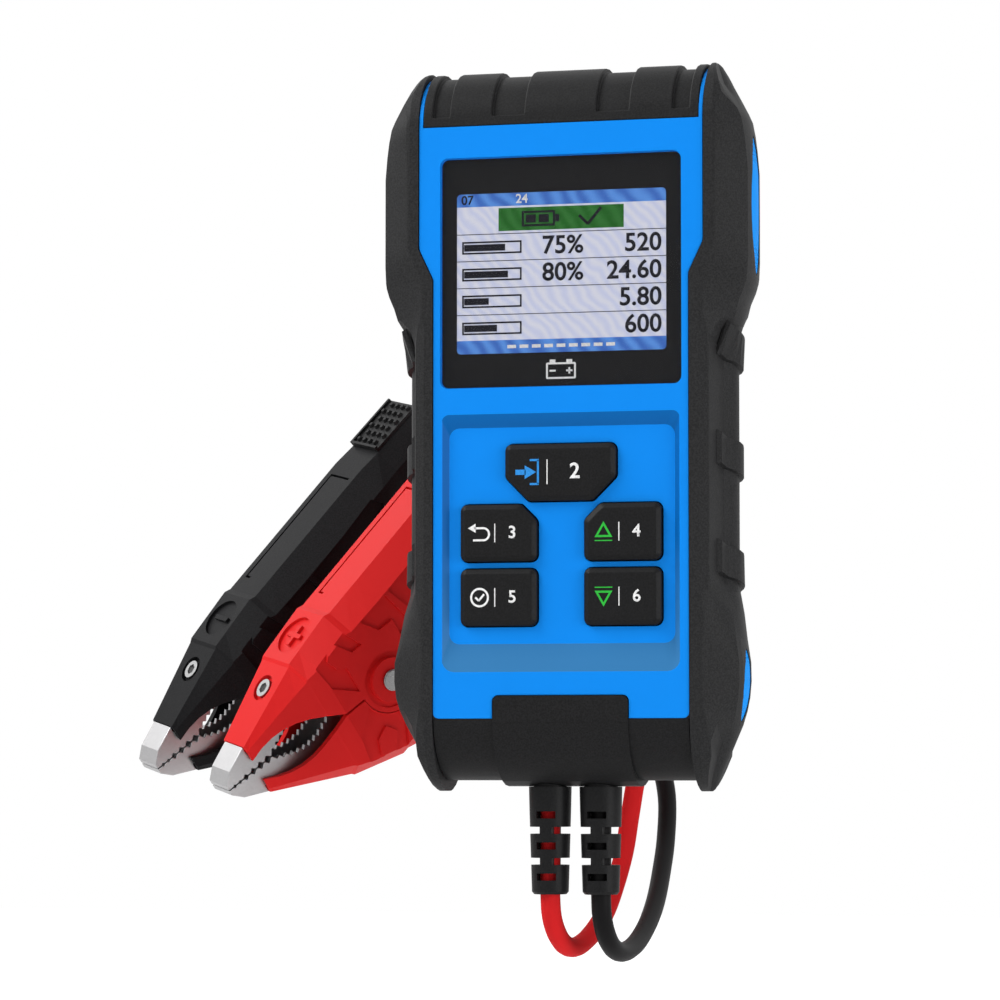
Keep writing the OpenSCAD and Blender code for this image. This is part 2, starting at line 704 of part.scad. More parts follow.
gland_neck_r = 4.5;
gland_top = low_z - tongue_proud - 0.05;     // where the collar meets the bottom cover
gland_low = gland_top - gland_len;
collar_h = 6.6;
slot_pitch = 4.15;
slot_h = 1.9;
web_w = 3.3;
window_gap = 5.3;
gland_seat_z = low_z + neck + wall + 1.5;    // where the collar inside the housing sits

module strain_relief(x) {
    color(BLACK) difference() {
        translate([x, mid_y, 0]) rotate_extrude($fn = 64) polygon([
            [lead_d / 2 + slip, gland_low], [gland_end_r - 0.6, gland_low], [gland_end_r, gland_low + 0.7],
            [gland_r - 0.15, gland_top - collar_h], [gland_r, gland_top], [gland_neck_r, gland_top],
            [gland_neck_r, gland_seat_z + 0.05], [gland_r, gland_seat_z + 0.05],
            [gland_r, gland_seat_z + 1.6], [lead_d / 2 + slip, gland_seat_z + 1.6]]);
        for (k = [0:4]) let (z = gland_top - collar_h - slot_h - k * slot_pitch) translate([x, mid_y, z])
            if (k % 2 == 0) translate([-window_gap / 2, -10, 0]) cube([window_gap, 20, slot_h]);
            else for (s = [-1, 1]) translate([s > 0 ? web_w / 2 : -10 - web_w / 2, -10, 0])
                cube([10, 20, slot_h]);
    }
}

module strain_relief_red() { strain_relief(-gland_x); }
module strain_relief_black() { strain_relief(gland_x); }

lead_start = terminal_low - 0.05;

// Routes of the leads: out of the housing, down through the loop, back and up behind the
// housing, and over into the end of a clamp's fixed handle.
red_route = [[-7, -17, -97], [-7, -17, -112], [-7, -17, -125.6], [-6.9, -15.8, -131], [-6.5, -12, -135.6],
    [-5.8, -6.2, -138.9], [-4.9, 1, -139.9], [-3.9, 12, -138], [-3, 28, -132], [-2.9, 41, -124],
    [-2.8, 52, -114.5], [-3, 60, -104.5], [-2.4, 66.5, -93], [0, 73, -80], [3, 80, -68], [6, 87, -57.5],
    [7.5, 92.7, -47.6], [6.2, 94.8, -42], [2.4, 95.5, -37.3], [-3, 94.8, -34.6], [-8.7, 92.7, -34.6]];
black_route = [[7, -17, -97], [7, -17, -112], [7, -17, -125.6], [7, -15.8, -131], [7.2, -12, -136],
    [7.6, -6, -139.6], [8.2, 1.5, -141.1], [8.8, 14, -139.8], [8.7, 30, -135], [8, 44, -128.8],
    [6.6, 58, -120.6], [5.2, 70, -111.4], [3, 81, -99.5], [-1, 89, -88.5], [-6, 97, -76.5],
    [-12, 105, -63], [-18.5, 113, -49], [-23.4, 119.1, -35.9], [-26.2, 120.9, -32], [-30.5, 121.6, -29.1],
    [-35.6, 121.2, -28], [-40.5, 119.7, -28.7]];

// A point of a clamp's own frame, placed in the part's frame.
function placed_point(pivot, p) = let (
    a = clamp_turn[0], b = clamp_turn[1], c = clamp_turn[2],
    q = [p[0], p[1] * cos(a) - p[2] * sin(a), p[1] * sin(a) + p[2] * cos(a)],
    r = [q[0] * cos(b) + q[2] * sin(b), q[1], -q[0] * sin(b) + q[2] * cos(b)])
    pivot + [r[0] * cos(c) - r[1] * sin(c), r[0] * sin(c) + r[1] * cos(c), r[2]];

lead_in = 5;                     // how far a lead reaches into a handle

// The straight stretch at a handle's end, outside it and in its hole.
function lead_tail(pivot) = [for (t = [12, 1, -lead_in])
    placed_point(pivot, [handle_len + t, -entry_y, 0])];

// A round tube along a route; each ring stands square to the route at its point.
module tube(pts, r, sides = 10) {
    n = len(pts);
    function dir(i) = let (d = pts[min(i + 1, n - 1)] - pts[max(i - 1, 0)]) d / norm(d);
    // carries one sideways vector along the route, so that the tube never twists
    function side(i) = i == 0 ? [1, 0, 0] : let (s = side(i - 1), d = dir(i), q = s - d * (s * d)) q / norm(q);
    skin([for (i = [0:n - 1]) let (d = dir(i), a = side(i), p = a - d * (a * d), s = p / norm(p),
        t = cross(d, s)) [for (k = [0:sides - 1]) let (w = 360 * k / sides)
            pts[i] + r * (cos(w) * s + sin(w) * t)]]);
}

module lead_red() {
    color(RED) tube(concat([[-gland_x, mid_y, lead_start]], red_route, lead_tail(red_pivot)), lead_d / 2);
}

module lead_black() {
    color(BLACK) tube(concat([[gland_x, mid_y, lead_start]], black_route, lead_tail(black_pivot)), lead_d / 2);
}

// ---- clamps -------------------------------------------------------------------------
// In a clamp's own frame X runs from the jaws to the handles through the pivot, Y points
// to the moving arm and Z is the axis of the rivet.

clamp_turn = [103.3, -37.6, 39.5];
red_pivot = [-74, 30.5, -63.5];
black_pivot = [-105, 58, -57.5];

jaw_gap = 0.3;                   // between the closed jaws
plastic_x = -jaw_len + 10;       // where the arms' mouldings start
lens_x0 = plastic_x + 6.1;       // ends of the lens-shaped opening between the jaws
lens_x1 = -16.6;
lens_h = 3.6;
step_x = -21;
medal_x = -5;
pad_x = handle_len - 18.5;       // where the finger pad starts
panel_x = pad_x - 7;             // where the grooved panel on the handle's flat ends
cheek_in = 12.2;                 // outer side of the inner pair of cheeks
cheek_out = 12.5;                // inner side of the outer pair
boss_big_r = 8.8;
boss_small_r = 6.4;
boss_rise = 1.2;
hub_r = 9.6;

// Outer flat: height above the middle plane along the arm.
function outer_y(x) = let (h = arm_rise + x * tan(handle_slope)) lookup(x, [
    [plastic_x, 8.1], [step_x - 0.8, 19.2], [step_x, 20], [medal_x, arm_rise - 0.1],
    [medal_x + 2, arm_rise - 0.5], [panel_x, arm_rise - 0.5 + panel_x * tan(handle_slope) + 0.4],
    [pad_x, arm_rise - 0.8 + pad_x * tan(handle_slope)],
    [handle_len, arm_rise - 1.4 + handle_len * tan(handle_slope)]]);

// Half widths of the outer flat and of the sides, and the drop of the chamfer between them.
function flat_z(x) = lookup(x, [[plastic_x, 5.8], [step_x, flat_half], [handle_len, flat_half]]);
function side_z(x) = lookup(x, [[plastic_x, 6.6], [step_x - 2, 12.6], [step_x + 3, side_half],
    [panel_x, side_half], [pad_x, side_half - 1.5], [handle_len, side_half - 2]]);
function bevel_y(x) = lookup(x, [[plastic_x, 1.4], [step_x, 4.6], [8, 5.6], [handle_len, 5.6]]);

// Free edge of the sides: round the opening at the jaws, along the parting line at the
// pivot, and up along the handle.
function inner_y(x) = x < lens_x1 ? let (t = (x - plastic_x) / (lens_x1 - plastic_x))
        jaw_gap / 2 + 3.2 * (1 - t) + 4.4 * sin(180 * pow(t, 0.9))
    : lookup(x, [[lens_x1, jaw_gap], [4, jaw_gap], [hub_r, 3.6], [20, 9.5], [32, 15.5], [handle_len, 24]]);

arm_stations = [for (k = [0:6]) mix(plastic_x, step_x - 0.8, k / 6), step_x, lens_x1, -10, medal_x,
    medal_x + 2, 4, hub_r, 14, 20, 26, 32, panel_x, pad_x, handle_len];

// A moulded arm as an open channel, swept from the jaw end to the handle end.
module arm_channel() {
    skin([for (x = arm_stations) let (yo = outer_y(x), zf = flat_z(x), zs = side_z(x),
        yb = yo - bevel_y(x), yi = min(inner_y(x), yb - 1), t = min(arm_wall, zs - jaw_half - 0.4),
        top = min(arm_wall, yo - yi - 2.2))
        [for (p = [[yi, -zs], [yb, -zs], [yo, -zf], [yo, zf], [yb, zs], [yi, zs], [yi, zs - t],
            [yb - top, zs - t], [yo - top, zf - t / 3], [yo - top, -zf + t / 3], [yb - top, -zs + t],
            [yi, -zs + t]]) [x, p[0], p[1]]]], true);
}

module round_z(x, y, r, z0, z1) {
    translate([x, y, z0]) cylinder(h = z1 - z0, r = r, $fn = 48);
}

screw_x = plastic_x + 15.9;
arm_angle = atan((19.2 - 8.1) / (step_x - 0.8 - plastic_x));

// Something square to the jaw end's outer flat, at the screw.
module at_screw() {
    translate([screw_x, outer_y(screw_x), 0]) rotate([0, 0, arm_angle]) children();
}

handle_cap_x = handle_len - 2.5;
entry_r = lead_d / 2 + 1.6;

// Recess with a raised sign in it: a plus or a minus in a round dish.
module medallion(plus) {
    translate([-12.6, outer_y(-12.6), 0]) rotate([0, 0, 17]) difference() {
        translate([0, -0.9, 0]) rotate([-90, 0, 0]) cylinder(h = 3, r = 6, $fn = 48);
        for (a = plus ? [0, 90] : [90]) rotate([0, a, 0]) translate([-3.4, -1, -0.7]) cube([6.8, 1.7, 1.4]);
    }
}

// The stiffening pockets in the sides of an arm: one with a raised island beside the hub,
// and two along the handle, with ribs between them.
pocket_depth = 0.8;
head_pocket = [[-18, 19.5], [-16.4, 9], [-8, 1.5], [-1.2, 12], [-5.5, 21]];
head_island = [[-10.4, 21], [-5.8, 14], [-8.2, 10.6], [-12.2, 12.6], [-13.6, 16.6]];
rib_pocket = [[0.8, 19.6], [8.6, 8], [14.2, 10.4], [11.4, 21.4]];
grip_pocket = [[12.8, 21.8], [16.2, 12.4], [panel_x - 2, 25], [panel_x - 5, 28.6]];

module side_pockets() {
    for (s = [-1, 1]) translate([0, 0, s > 0 ? side_half - pocket_depth : -side_half - 2])
        linear_extrude(2 + pocket_depth) difference() {
            union() {
                difference() {
                    polygon(head_pocket);
                    polygon(head_island);
                }
                polygon(rib_pocket);
                polygon(grip_pocket);
            }
            circle(r = hub_r + 0.5, $fn = 48);
        }
}

// A groove round three sides of the long panel on a handle's flat.
module panel_groove() {
    rotate([0, 0, handle_slope]) translate([0, arm_rise * cos(handle_slope) - 0.6, 0]) difference() {
        translate([7.5, -0.5, -5.2]) cube([panel_x - 5, 3, 10.4]);
        translate([8.2, -1, -4.5]) cube([panel_x - 6.4, 4, 20]);
        translate([7, -1, -2.8]) cube([4, 4, 20]);
    }
}

// Upper arm: carries the outer cheeks and the boss rings.
module upper_arm(plus) {
    difference() {
        union() {
            difference() {
                arm_channel();
                side_pockets();
                medallion(plus);
                panel_groove();
            }
            for (s = [-1, 1]) {
                round_z(0, 0, hub_r, s > 0 ? cheek_out : -side_half, s > 0 ? side_half : -cheek_out);
                translate([-hub_r, 0, s > 0 ? cheek_out : -side_half])
                    cube([2 * hub_r, 14, side_half - cheek_out]);
                round_z(0, 0, boss_small_r, s > 0 ? cheek_out : -side_half - boss_rise,
                    s > 0 ? side_half + boss_rise : -cheek_out);
            }
        }
        difference() {
            round_z(0, 0, boss_big_r - 0.7, -side_half - 5, side_half + 5);
            round_z(0, 0, boss_small_r, -side_half - 6, side_half + 6);
            round_z(0, 0, 20, -side_half + 0.6, side_half - 0.6);
        }
        round_z(0, 0, rivet_r + slip, -side_half - 6, side_half + 6);
        screw_hole();
    }
}

// Lower arm: mirrored, with the inner cheeks, and the lead's entry in its handle.
module lower_arm(plus) {
    mirror([0, 1, 0]) difference() {
        union() {
            difference() {
                arm_channel();
                side_pockets();
            }
            for (s = [-1, 1]) {
                round_z(0, 0, hub_r, s > 0 ? cheek_in - arm_wall : -cheek_in, s > 0 ? cheek_in : -cheek_in + arm_wall);
                translate([-hub_r, 0, s > 0 ? cheek_in - arm_wall : -cheek_in]) cube([2 * hub_r, 16, arm_wall]);
                translate([-13, jaw_gap, s > 0 ? cheek_in - arm_wall : -side_half + arm_wall])
                    cube([21, 14, side_half - cheek_in]);
            }
            translate([handle_cap_x, 24, -side_half + 3]) cube([2.5, outer_y(handle_len) - 25, 2 * side_half - 6]);
        }
        round_z(0, 0, hub_r + fit, -side_half - 6, -cheek_in - 0.15);
        round_z(0, 0, hub_r + fit, cheek_in + 0.15, side_half + 6);
        round_z(0, 0, rivet_r + slip, -side_half - 6, side_half + 6);
        screw_hole();
        translate([handle_cap_x - 4, entry_y, 0]) rotate([0, 90, 0]) cylinder(h = 10, r = lead_d / 2 + slip, $fn = 40);
    }
}

entry_y = 31.5;

module screw_hole() {
    at_screw() translate([0, -8, 0]) rotate([-90, 0, 0]) {
        cylinder(h = 12, r = screw_r + slip, $fn = 40);
        translate([0, 0, 8 - screw_pocket]) cylinder(h = 12, r = screw_head_r + 1.2, $fn = 48);
    }
}

screw_pocket = 1.4;              // depth of the round pocket that the head sits in

module clamp_screw() {
    at_screw() rotate([-90, 0, 0]) difference() {
        union() {
            translate([0, 0, -6]) cylinder(h = 5, r = screw_r, $fn = 40);
            translate([0, 0, 0.05 - screw_pocket]) cylinder(h = 1.3, r = screw_head_r, $fn = 48);
        }
        translate([0, 0, -1]) cylinder(h = 2, r = 1.6, $fn = 6);
    }
}

// Bent sheet jaw: an outer strip and two toothed side plates.
tooth_pitch = 1.9;
tooth_h = 1.1;
notch_r = 0.8;
notch_pitch = 2.7;
notch_x0 = -jaw_len + 6.4;
small_notch_r = 0.45;

function jaw_edge() = concat(
    [[-jaw_len, jaw_gap / 2]],
    [for (x = [-jaw_len + 2.2, -jaw_len + 4.2]) each
        [[x - small_notch_r, jaw_gap / 2], [x, jaw_gap / 2 + small_notch_r], [x + small_notch_r, jaw_gap / 2]]],
    [for (k = [0:notches - 1]) each let (x = notch_x0 + k * notch_pitch, r = notch_r * (1 + 0.12 * k))
        [[x - r, jaw_gap / 2], [x, jaw_gap / 2 + r], [x + r, jaw_gap / 2]]],
    [[lens_x0, jaw_gap / 2]],
    let (n = round((lens_x1 - lens_x0) / tooth_pitch)) [for (k = [0:n - 1]) each
        let (a = lens_x0 + (lens_x1 - lens_x0) * (k + 0.5) / n, b = lens_x0 + (lens_x1 - lens_x0) * (k + 1) / n)
        [[a, lens_edge(a) + tooth_h], [b, lens_edge(b)]]]);

function lens_edge(x) = jaw_gap / 2 + lens_h * sin(180 * (x - lens_x0) / (lens_x1 - lens_x0));

jaw_back = -15;

// Back of the bent strip: inside the moulding, and flush with it in front of its edge.
function jaw_inside(drop) = [[jaw_back, 7.5 - drop], [step_x - 1, 14 - drop],
    [screw_x, outer_y(screw_x) - arm_wall - 0.67 - drop], [plastic_x + 0.3, 6 - drop]];
jaw_nose = [[plastic_x - 0.15, 5.8], [plastic_x - 0.15, 7.9], [-jaw_len + 2.9, 4.6], [-jaw_len, 1.6]];

module jaw() {
    for (s = [-1, 1]) translate([0, 0, s > 0 ? jaw_half - jaw_t : -jaw_half]) linear_extrude(jaw_t)
        polygon(concat(jaw_edge(), [[jaw_back, jaw_gap / 2]], jaw_inside(0), jaw_nose));
    difference() {
        translate([0, 0, -jaw_half]) linear_extrude(2 * jaw_half) polygon(concat(jaw_inside(0), jaw_nose,
            [[-jaw_len, jaw_gap / 2], [-jaw_len + jaw_t, jaw_gap / 2], [-jaw_len + jaw_t, 1.2],
            [-jaw_len + 3.6, 3.6]], [for (i = [3:-1:0]) jaw_inside(jaw_t)[i]]));
        at_screw() translate([0, -8, 0]) rotate([-90, 0, 0]) cylinder(h = 20, r = screw_r + slip, $fn = 40);
    }
}

module rivet() {
    color(METAL) {
        cylinder(h = 2 * side_half, r = rivet_r, center = true, $fn = 48);
        for (s = [-1, 1]) translate([0, 0, s * (side_half + boss_rise + 0.5)])
            cylinder(h = 0.9, r = rivet_r + 0.6, center = true, $fn = 48);
        for (s = [-1, 1]) translate([0, 0, s * side_half]) cylinder(h = 2.8, r = rivet_r, center = true, $fn = 48);
    }
}

wire_r = 0.9;
coil_r = 4.4;
coil_turns = 4;
coil_pitch = 2.1;
coil_steps = 12;
leg_len = 27;
spring_lie = 17;                 // slope of the legs

// A wound torsion spring round the rivet, with one leg along each handle.
module spring() {
    n = coil_turns * coil_steps + 5;
    z0 = -coil_pitch * n / coil_steps / 2;
    a0 = 90 + spring_lie - 180;
    function at(i) = let (a = a0 - 360 * i / coil_steps) [coil_r * cos(a), coil_r * sin(a), z0 + coil_pitch * i / coil_steps];
    function leg(i, s) = at(i) + leg_len * [cos(spring_lie), s * sin(spring_lie), 0];
    color(METAL) tube(concat([leg(0, -1)], [for (i = [0:n]) at(i)], [leg(n, 1)]), wire_r, 6);
}

// Textured finger pad at the end of a handle.
module finger_pad() {
    a = atan((outer_y(handle_len) - outer_y(pad_x)) / (handle_len - pad_x));
    translate([pad_x, outer_y(pad_x), 0]) rotate([0, 0, a]) {
        difference() {
            translate([0.4, 0.05, -flat_half + 0.2]) cube([handle_len - pad_x - 0.6, 1.7, 2 * flat_half - 0.4]);
            translate([1.2, 0.95, -flat_half + 1.1]) cube([handle_len, 3, 2 * flat_half]);
        }
        for (i = [0:5]) for (j = [0:3]) translate([2.6 + i * 2.8, 0.9, -4.6 + j * 3 + (i % 2) * 1.4])
            rotate([-90, 0, 0]) cylinder(h = 1, r1 = 0.95, r2 = 0.6, $fn = 16);
    }
}

module placed(p) {
    translate(p) rotate(clamp_turn) children();
}

module upside() {
    mirror([0, 1, 0]) children();
}

module red_lower_arm() { color(RED) placed(red_pivot) lower_arm(true); }
module red_upper_arm() { color(RED) placed(red_pivot) upper_arm(true); }
module red_lower_jaw() { color(METAL) placed(red_pivot) upside() jaw(); }
module red_upper_jaw() { color(METAL) placed(red_pivot) jaw(); }
module red_rivet() { placed(red_pivot) rivet(); }
module red_spring() { placed(red_pivot) spring(); }
module red_lower_screw() { color(METAL) placed(red_pivot) upside() clamp_screw(); }
module red_upper_screw() { color(METAL) placed(red_pivot) clamp_screw(); }
module red_lower_pad() { color(BLACK) placed(red_pivot) upside() finger_pad(); }
module red_upper_pad() { color(BLACK) placed(red_pivot) finger_pad(); }
module black_lower_arm() { color(BLACK) placed(black_pivot) lower_arm(false); }
module black_upper_arm() { color(BLACK) placed(black_pivot) upper_arm(false); }
module black_lower_jaw() { color(METAL) placed(black_pivot) upside() jaw(); }
module black_upper_jaw() { color(METAL) placed(black_pivot) jaw(); }
module black_rivet() { placed(black_pivot) rivet(); }
module black_spring() { placed(black_pivot) spring(); }
module black_lower_screw() { color(METAL) placed(black_pivot) upside() clamp_screw(); }
module black_upper_screw() { color(METAL) placed(black_pivot) clamp_screw(); }
module black_lower_pad() { color(BLACK) placed(black_pivot) upside() finger_pad(); }
module black_upper_pad() { color(BLACK) placed(black_pivot) finger_pad(); }

front_shell();
rear_shell();
top_cover();
bottom_cover();
left_guard();
right_guard();
left_upper_inset();
left_lower_inset();
right_upper_inset();
right_lower_inset();
display_window();
lcd_panel();
lcd_holder();
main_board();
keypad_mat();
key_switches();
key_enter();
key_back();
key_up();
key_check();
key_down();
buzzer();
load_relay();
load_resistor();
lead_terminals();
case_screws();
board_screws();
strain_relief_red();
strain_relief_black();
lead_red();
lead_black();
red_lower_arm();
red_upper_arm();
red_lower_jaw();
red_upper_jaw();
red_rivet();
red_spring();
red_lower_screw();
red_upper_screw();
red_lower_pad();
red_upper_pad();
black_lower_arm();
black_upper_arm();
black_lower_jaw();
black_upper_jaw();
black_rivet();
black_spring();
black_lower_screw();
black_upper_screw();
black_lower_pad();
black_upper_pad();
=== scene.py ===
import json
import math

import bpy
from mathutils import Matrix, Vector

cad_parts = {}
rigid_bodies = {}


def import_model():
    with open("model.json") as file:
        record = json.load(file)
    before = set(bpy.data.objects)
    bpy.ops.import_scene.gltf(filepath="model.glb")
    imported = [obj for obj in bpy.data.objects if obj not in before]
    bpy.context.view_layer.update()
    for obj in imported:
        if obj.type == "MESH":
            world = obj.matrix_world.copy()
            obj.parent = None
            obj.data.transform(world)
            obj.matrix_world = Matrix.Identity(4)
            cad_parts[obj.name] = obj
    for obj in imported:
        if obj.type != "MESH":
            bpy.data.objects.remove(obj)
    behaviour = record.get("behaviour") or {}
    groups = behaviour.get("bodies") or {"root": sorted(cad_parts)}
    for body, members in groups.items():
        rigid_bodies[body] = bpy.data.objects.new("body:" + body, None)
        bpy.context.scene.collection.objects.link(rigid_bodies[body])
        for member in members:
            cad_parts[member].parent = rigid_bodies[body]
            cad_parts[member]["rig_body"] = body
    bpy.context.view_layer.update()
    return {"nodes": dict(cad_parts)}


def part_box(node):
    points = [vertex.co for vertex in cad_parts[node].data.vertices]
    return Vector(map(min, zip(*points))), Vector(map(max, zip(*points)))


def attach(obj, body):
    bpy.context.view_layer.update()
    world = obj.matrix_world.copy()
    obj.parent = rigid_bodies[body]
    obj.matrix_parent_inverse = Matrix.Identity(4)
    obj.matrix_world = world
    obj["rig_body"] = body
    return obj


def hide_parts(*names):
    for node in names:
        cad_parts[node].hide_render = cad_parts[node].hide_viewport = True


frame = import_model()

scene = bpy.context.scene
nodes = frame["nodes"]
bpy.ops.object.select_all(action="DESELECT")


# Camera: a long lens, a little to the right of the tester and a little below its
# middle, looking slightly up at the face.
bpy.ops.object.camera_add(location=(0.2695, -1.1012, -0.0893),
                          rotation=(math.radians(93.6), 0, math.radians(15)))
camera = bpy.context.object
camera.name = "studio_camera"
camera.data.sensor_width = 36
camera.data.lens = 149.37
scene.camera = camera


# The two test leads: round silicone cable, red for plus and black for minus. Each runs
# from its strain relief in a hanging loop behind the housing and into the end of its
# clamp's fixed handle. The jackets are extruded, with a smooth satin surface.
lead_diameter = 0.0054
# the routes are in millimetres
red_route = [
    (-7, -17, -76.5), (-7, -17, -97), (-7, -17, -112), (-7, -17, -125.6), (-6.9, -15.8, -131),
    (-6.5, -12, -135.6), (-5.8, -6.2, -138.9), (-4.9, 1, -139.9), (-3.9, 12, -138), (-3, 28, -132),
    (-2.9, 41, -124), (-2.8, 52, -114.5), (-3, 60, -104.5), (-2.4, 66.5, -93), (0, 73, -80),
    (3, 80, -68), (6, 87, -57.5), (7.5, 92.7, -47.6), (6.2, 94.8, -42), (2.4, 95.5, -37.3),
    (-3, 94.8, -34.6), (-8.7, 92.7, -34.6), (-13.43, 89.82, -37.15), (-20.16, 84.27, -43.86),
    (-23.83, 81.25, -47.52)]
black_route = [
    (7, -17, -76.5), (7, -17, -97), (7, -17, -112), (7, -17, -125.6), (7, -15.8, -131),
    (7.2, -12, -136), (7.6, -6, -139.6), (8.2, 1.5, -141.1), (8.8, 14, -139.8), (8.7, 30, -135),
    (8, 44, -128.8), (6.6, 58, -120.6), (5.2, 70, -111.4), (3, 81, -99.5), (-1, 89, -88.5),
    (-6, 97, -76.5), (-12, 105, -63), (-18.5, 113, -49), (-23.4, 119.1, -35.9), (-26.2, 120.9, -32),
    (-30.5, 121.6, -29.1), (-35.6, 121.2, -28), (-40.5, 119.7, -28.7), (-44.43, 117.32, -31.15),
    (-51.16, 111.77, -37.86), (-54.83, 108.75, -41.52)]


def blank_finish(name):
    # a new material, its nodes and the shader that its finish goes into
    mat = bpy.data.materials.new(name)
    mat.use_nodes = True
    return mat, mat.node_tree, mat.node_tree.nodes["Principled BSDF"]


def feed(tree, term, socket):
    # a term is a number, a colour or another node's result
    if isinstance(term, bpy.types.NodeSocket):
        tree.links.new(term, socket)
    else:
        socket.default_value = term


def reckon(tree, operation, *terms):
    node = tree.nodes.new("ShaderNodeMath")
    node.operation = operation
    for term, socket in zip(terms, node.inputs):
        feed(tree, term, socket)
    return node.outputs["Value"]


def scaled(tree, value, to_low, to_high, from_low=0, from_high=1):
    scale = tree.nodes.new("ShaderNodeMapRange")
    for end, limit in (("From Min", from_low), ("From Max", from_high),
                       ("To Min", to_low), ("To Max", to_high)):
        scale.inputs[end].default_value = limit
    feed(tree, value, scale.inputs["Value"])
    return scale.outputs["Result"]


def two_tone(tree, share, first, second):
    # from the first tone, where the share is 0, to the second, where it is 1
    mix = tree.nodes.new("ShaderNodeMix")
    mix.data_type = "RGBA"
    feed(tree, share, mix.inputs["Factor"])
    feed(tree, first, mix.inputs["A"])
    feed(tree, second, mix.inputs["B"])
    return mix.outputs["Result"]


def noise_on(tree, place, scale, detail=2):
    noise = tree.nodes.new("ShaderNodeTexNoise")
    noise.inputs["Scale"].default_value = scale
    noise.inputs["Detail"].default_value = detail
    tree.links.new(place, noise.inputs["Vector"])
    return noise.outputs["Fac"]


def moulded(name, colour, rough, grain=1400, depth=0.00003, sheen=0.12, spread=0.06, painted_glint=0.0):
    # Plastic or rubber with the fine spark-eroded grain that its tool leaves. Grain says how
    # fine it is, depth how deep, and sheen how much it shines. The colour varies by the share
    # spread in broad patches, and by a painted glint on the grain's tips and painted shade in its
    # pits.
    mat, tree, shader = blank_finish(name)
    shader.inputs["Specular IOR Level"].default_value = sheen
    place = tree.nodes.new("ShaderNodeTexCoord").outputs["Object"]
    fine = noise_on(tree, place, grain)
    broad = noise_on(tree, place, 28, detail=4)
    tone = two_tone(tree, broad, [c * (1 - spread) for c in colour] + [1],
                    [min(1, c * (1 + spread)) for c in colour] + [1])
    # painted glint and shade: the grain's tips are painted lighter and its pits darker
    if painted_glint:
        spots = tree.nodes.new("ShaderNodeVectorMath")
        spots.operation = "SCALE"
        tree.links.new(tone, spots.inputs["Vector"])
        feed(tree, scaled(tree, fine, 1 - painted_glint, 1 + painted_glint, 0.35, 0.65), spots.inputs["Scale"])
        tone = spots.outputs["Vector"]
    tree.links.new(tone, shader.inputs["Base Color"])
    feed(tree, scaled(tree, broad, rough - 0.04, rough + 0.06), shader.inputs["Roughness"])
    bump = tree.nodes.new("ShaderNodeBump")
    bump.inputs["Distance"].default_value = depth
    bump.inputs["Strength"].default_value = 0.7
    tree.links.new(fine, bump.inputs["Height"])
    tree.links.new(bump.outputs["Normal"], shader.inputs["Normal"])
    return mat


def only(piece):
    bpy.ops.object.select_all(action="DESELECT")
    bpy.context.view_layer.objects.active = piece
    piece.select_set(True)


def dress(node, name, mat, width=0.0003, segments=2, angle=30, crisp=None):
    # The node's own solid, welded and its flat faces made whole, with a radius of width on
    # the edges that turn by more than angle. Shading is hard where they turn by more than
    # crisp, if that is given.
    piece = bpy.data.objects.new(name, nodes[node].data.copy())
    scene.collection.objects.link(piece)
    only(piece)
    bpy.ops.object.mode_set(mode="EDIT")
    bpy.ops.mesh.select_all(action="SELECT")
    bpy.ops.mesh.remove_doubles(threshold=0.000002)
    bpy.ops.mesh.dissolve_limited(angle_limit=math.radians(0.6), delimit={"NORMAL"})
    bpy.ops.object.mode_set(mode="OBJECT")
    bpy.ops.object.shade_smooth_by_angle(angle=math.radians(crisp or angle))
    if width:
        bevel = piece.modifiers.new("rounded_edges", "BEVEL")
        bevel.width = width
        bevel.segments = segments
        bevel.limit_method = "ANGLE"
        bevel.angle_limit = math.radians(angle)
        bevel.miter_outer = "MITER_ARC"
        bpy.ops.object.modifier_apply(modifier="rounded_edges")
        even = piece.modifiers.new("even_shading", "WEIGHTED_NORMAL")
        even.keep_sharp = True
        bpy.ops.object.modifier_apply(modifier="even_shading")
    piece.data.materials.clear()
    piece.data.materials.append(mat)
    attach(piece, nodes[node]["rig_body"])
    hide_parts(node)
    piece.select_set(False)
    return piece


def smooth_route(route, steps=6):
    # a curve through given points; centripetal spacing keeps the tight bends round
    points = [Vector(p) / 1000 for p in route]
    smooth = []
    for i in range(len(points) - 1):
        a, b, c = points[max(i - 1, 0)], points[i], points[i + 1]
        d = points[min(i + 2, len(points) - 1)]
        before = max((b - a).length, 1e-6) ** 0.5
        here = (c - b).length ** 0.5
        after = max((d - c).length, 1e-6) ** 0.5
        start = end = c - b
        if i > 0:
            start = start + here * ((b - a) / before - (c - a) / (before + here))
        if i < len(points) - 2:
            end = end + here * ((d - c) / after - (d - b) / (here + after))
        for k in range(steps):
            t = k / steps
            smooth.append((2 * t**3 - 3 * t**2 + 1) * b + (t**3 - 2 * t**2 + t) * start
                          + (3 * t**2 - 2 * t**3) * c + (t**3 - t**2) * end)
    smooth.append(points[-1])
    return smooth


def lead(name, route, mat, node):
    # a round cable along its route, from its strain relief into its clamp
    way = smooth_route(route)
    curve = bpy.data.curves.new(name, "CURVE")
    curve.dimensions = "3D"
    spline = curve.splines.new("POLY")
    spline.points.add(len(way) - 1)
    for point, place in zip(spline.points, way):
        point.co = (*place, 1)
    curve.bevel_depth = lead_diameter / 2
    curve.bevel_resolution = 6
    curve.use_fill_caps = True
    curve.materials.append(mat)
    piece = bpy.data.objects.new(name, curve)
    scene.collection.objects.link(piece)
    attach(piece, "tester")
    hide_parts(node)


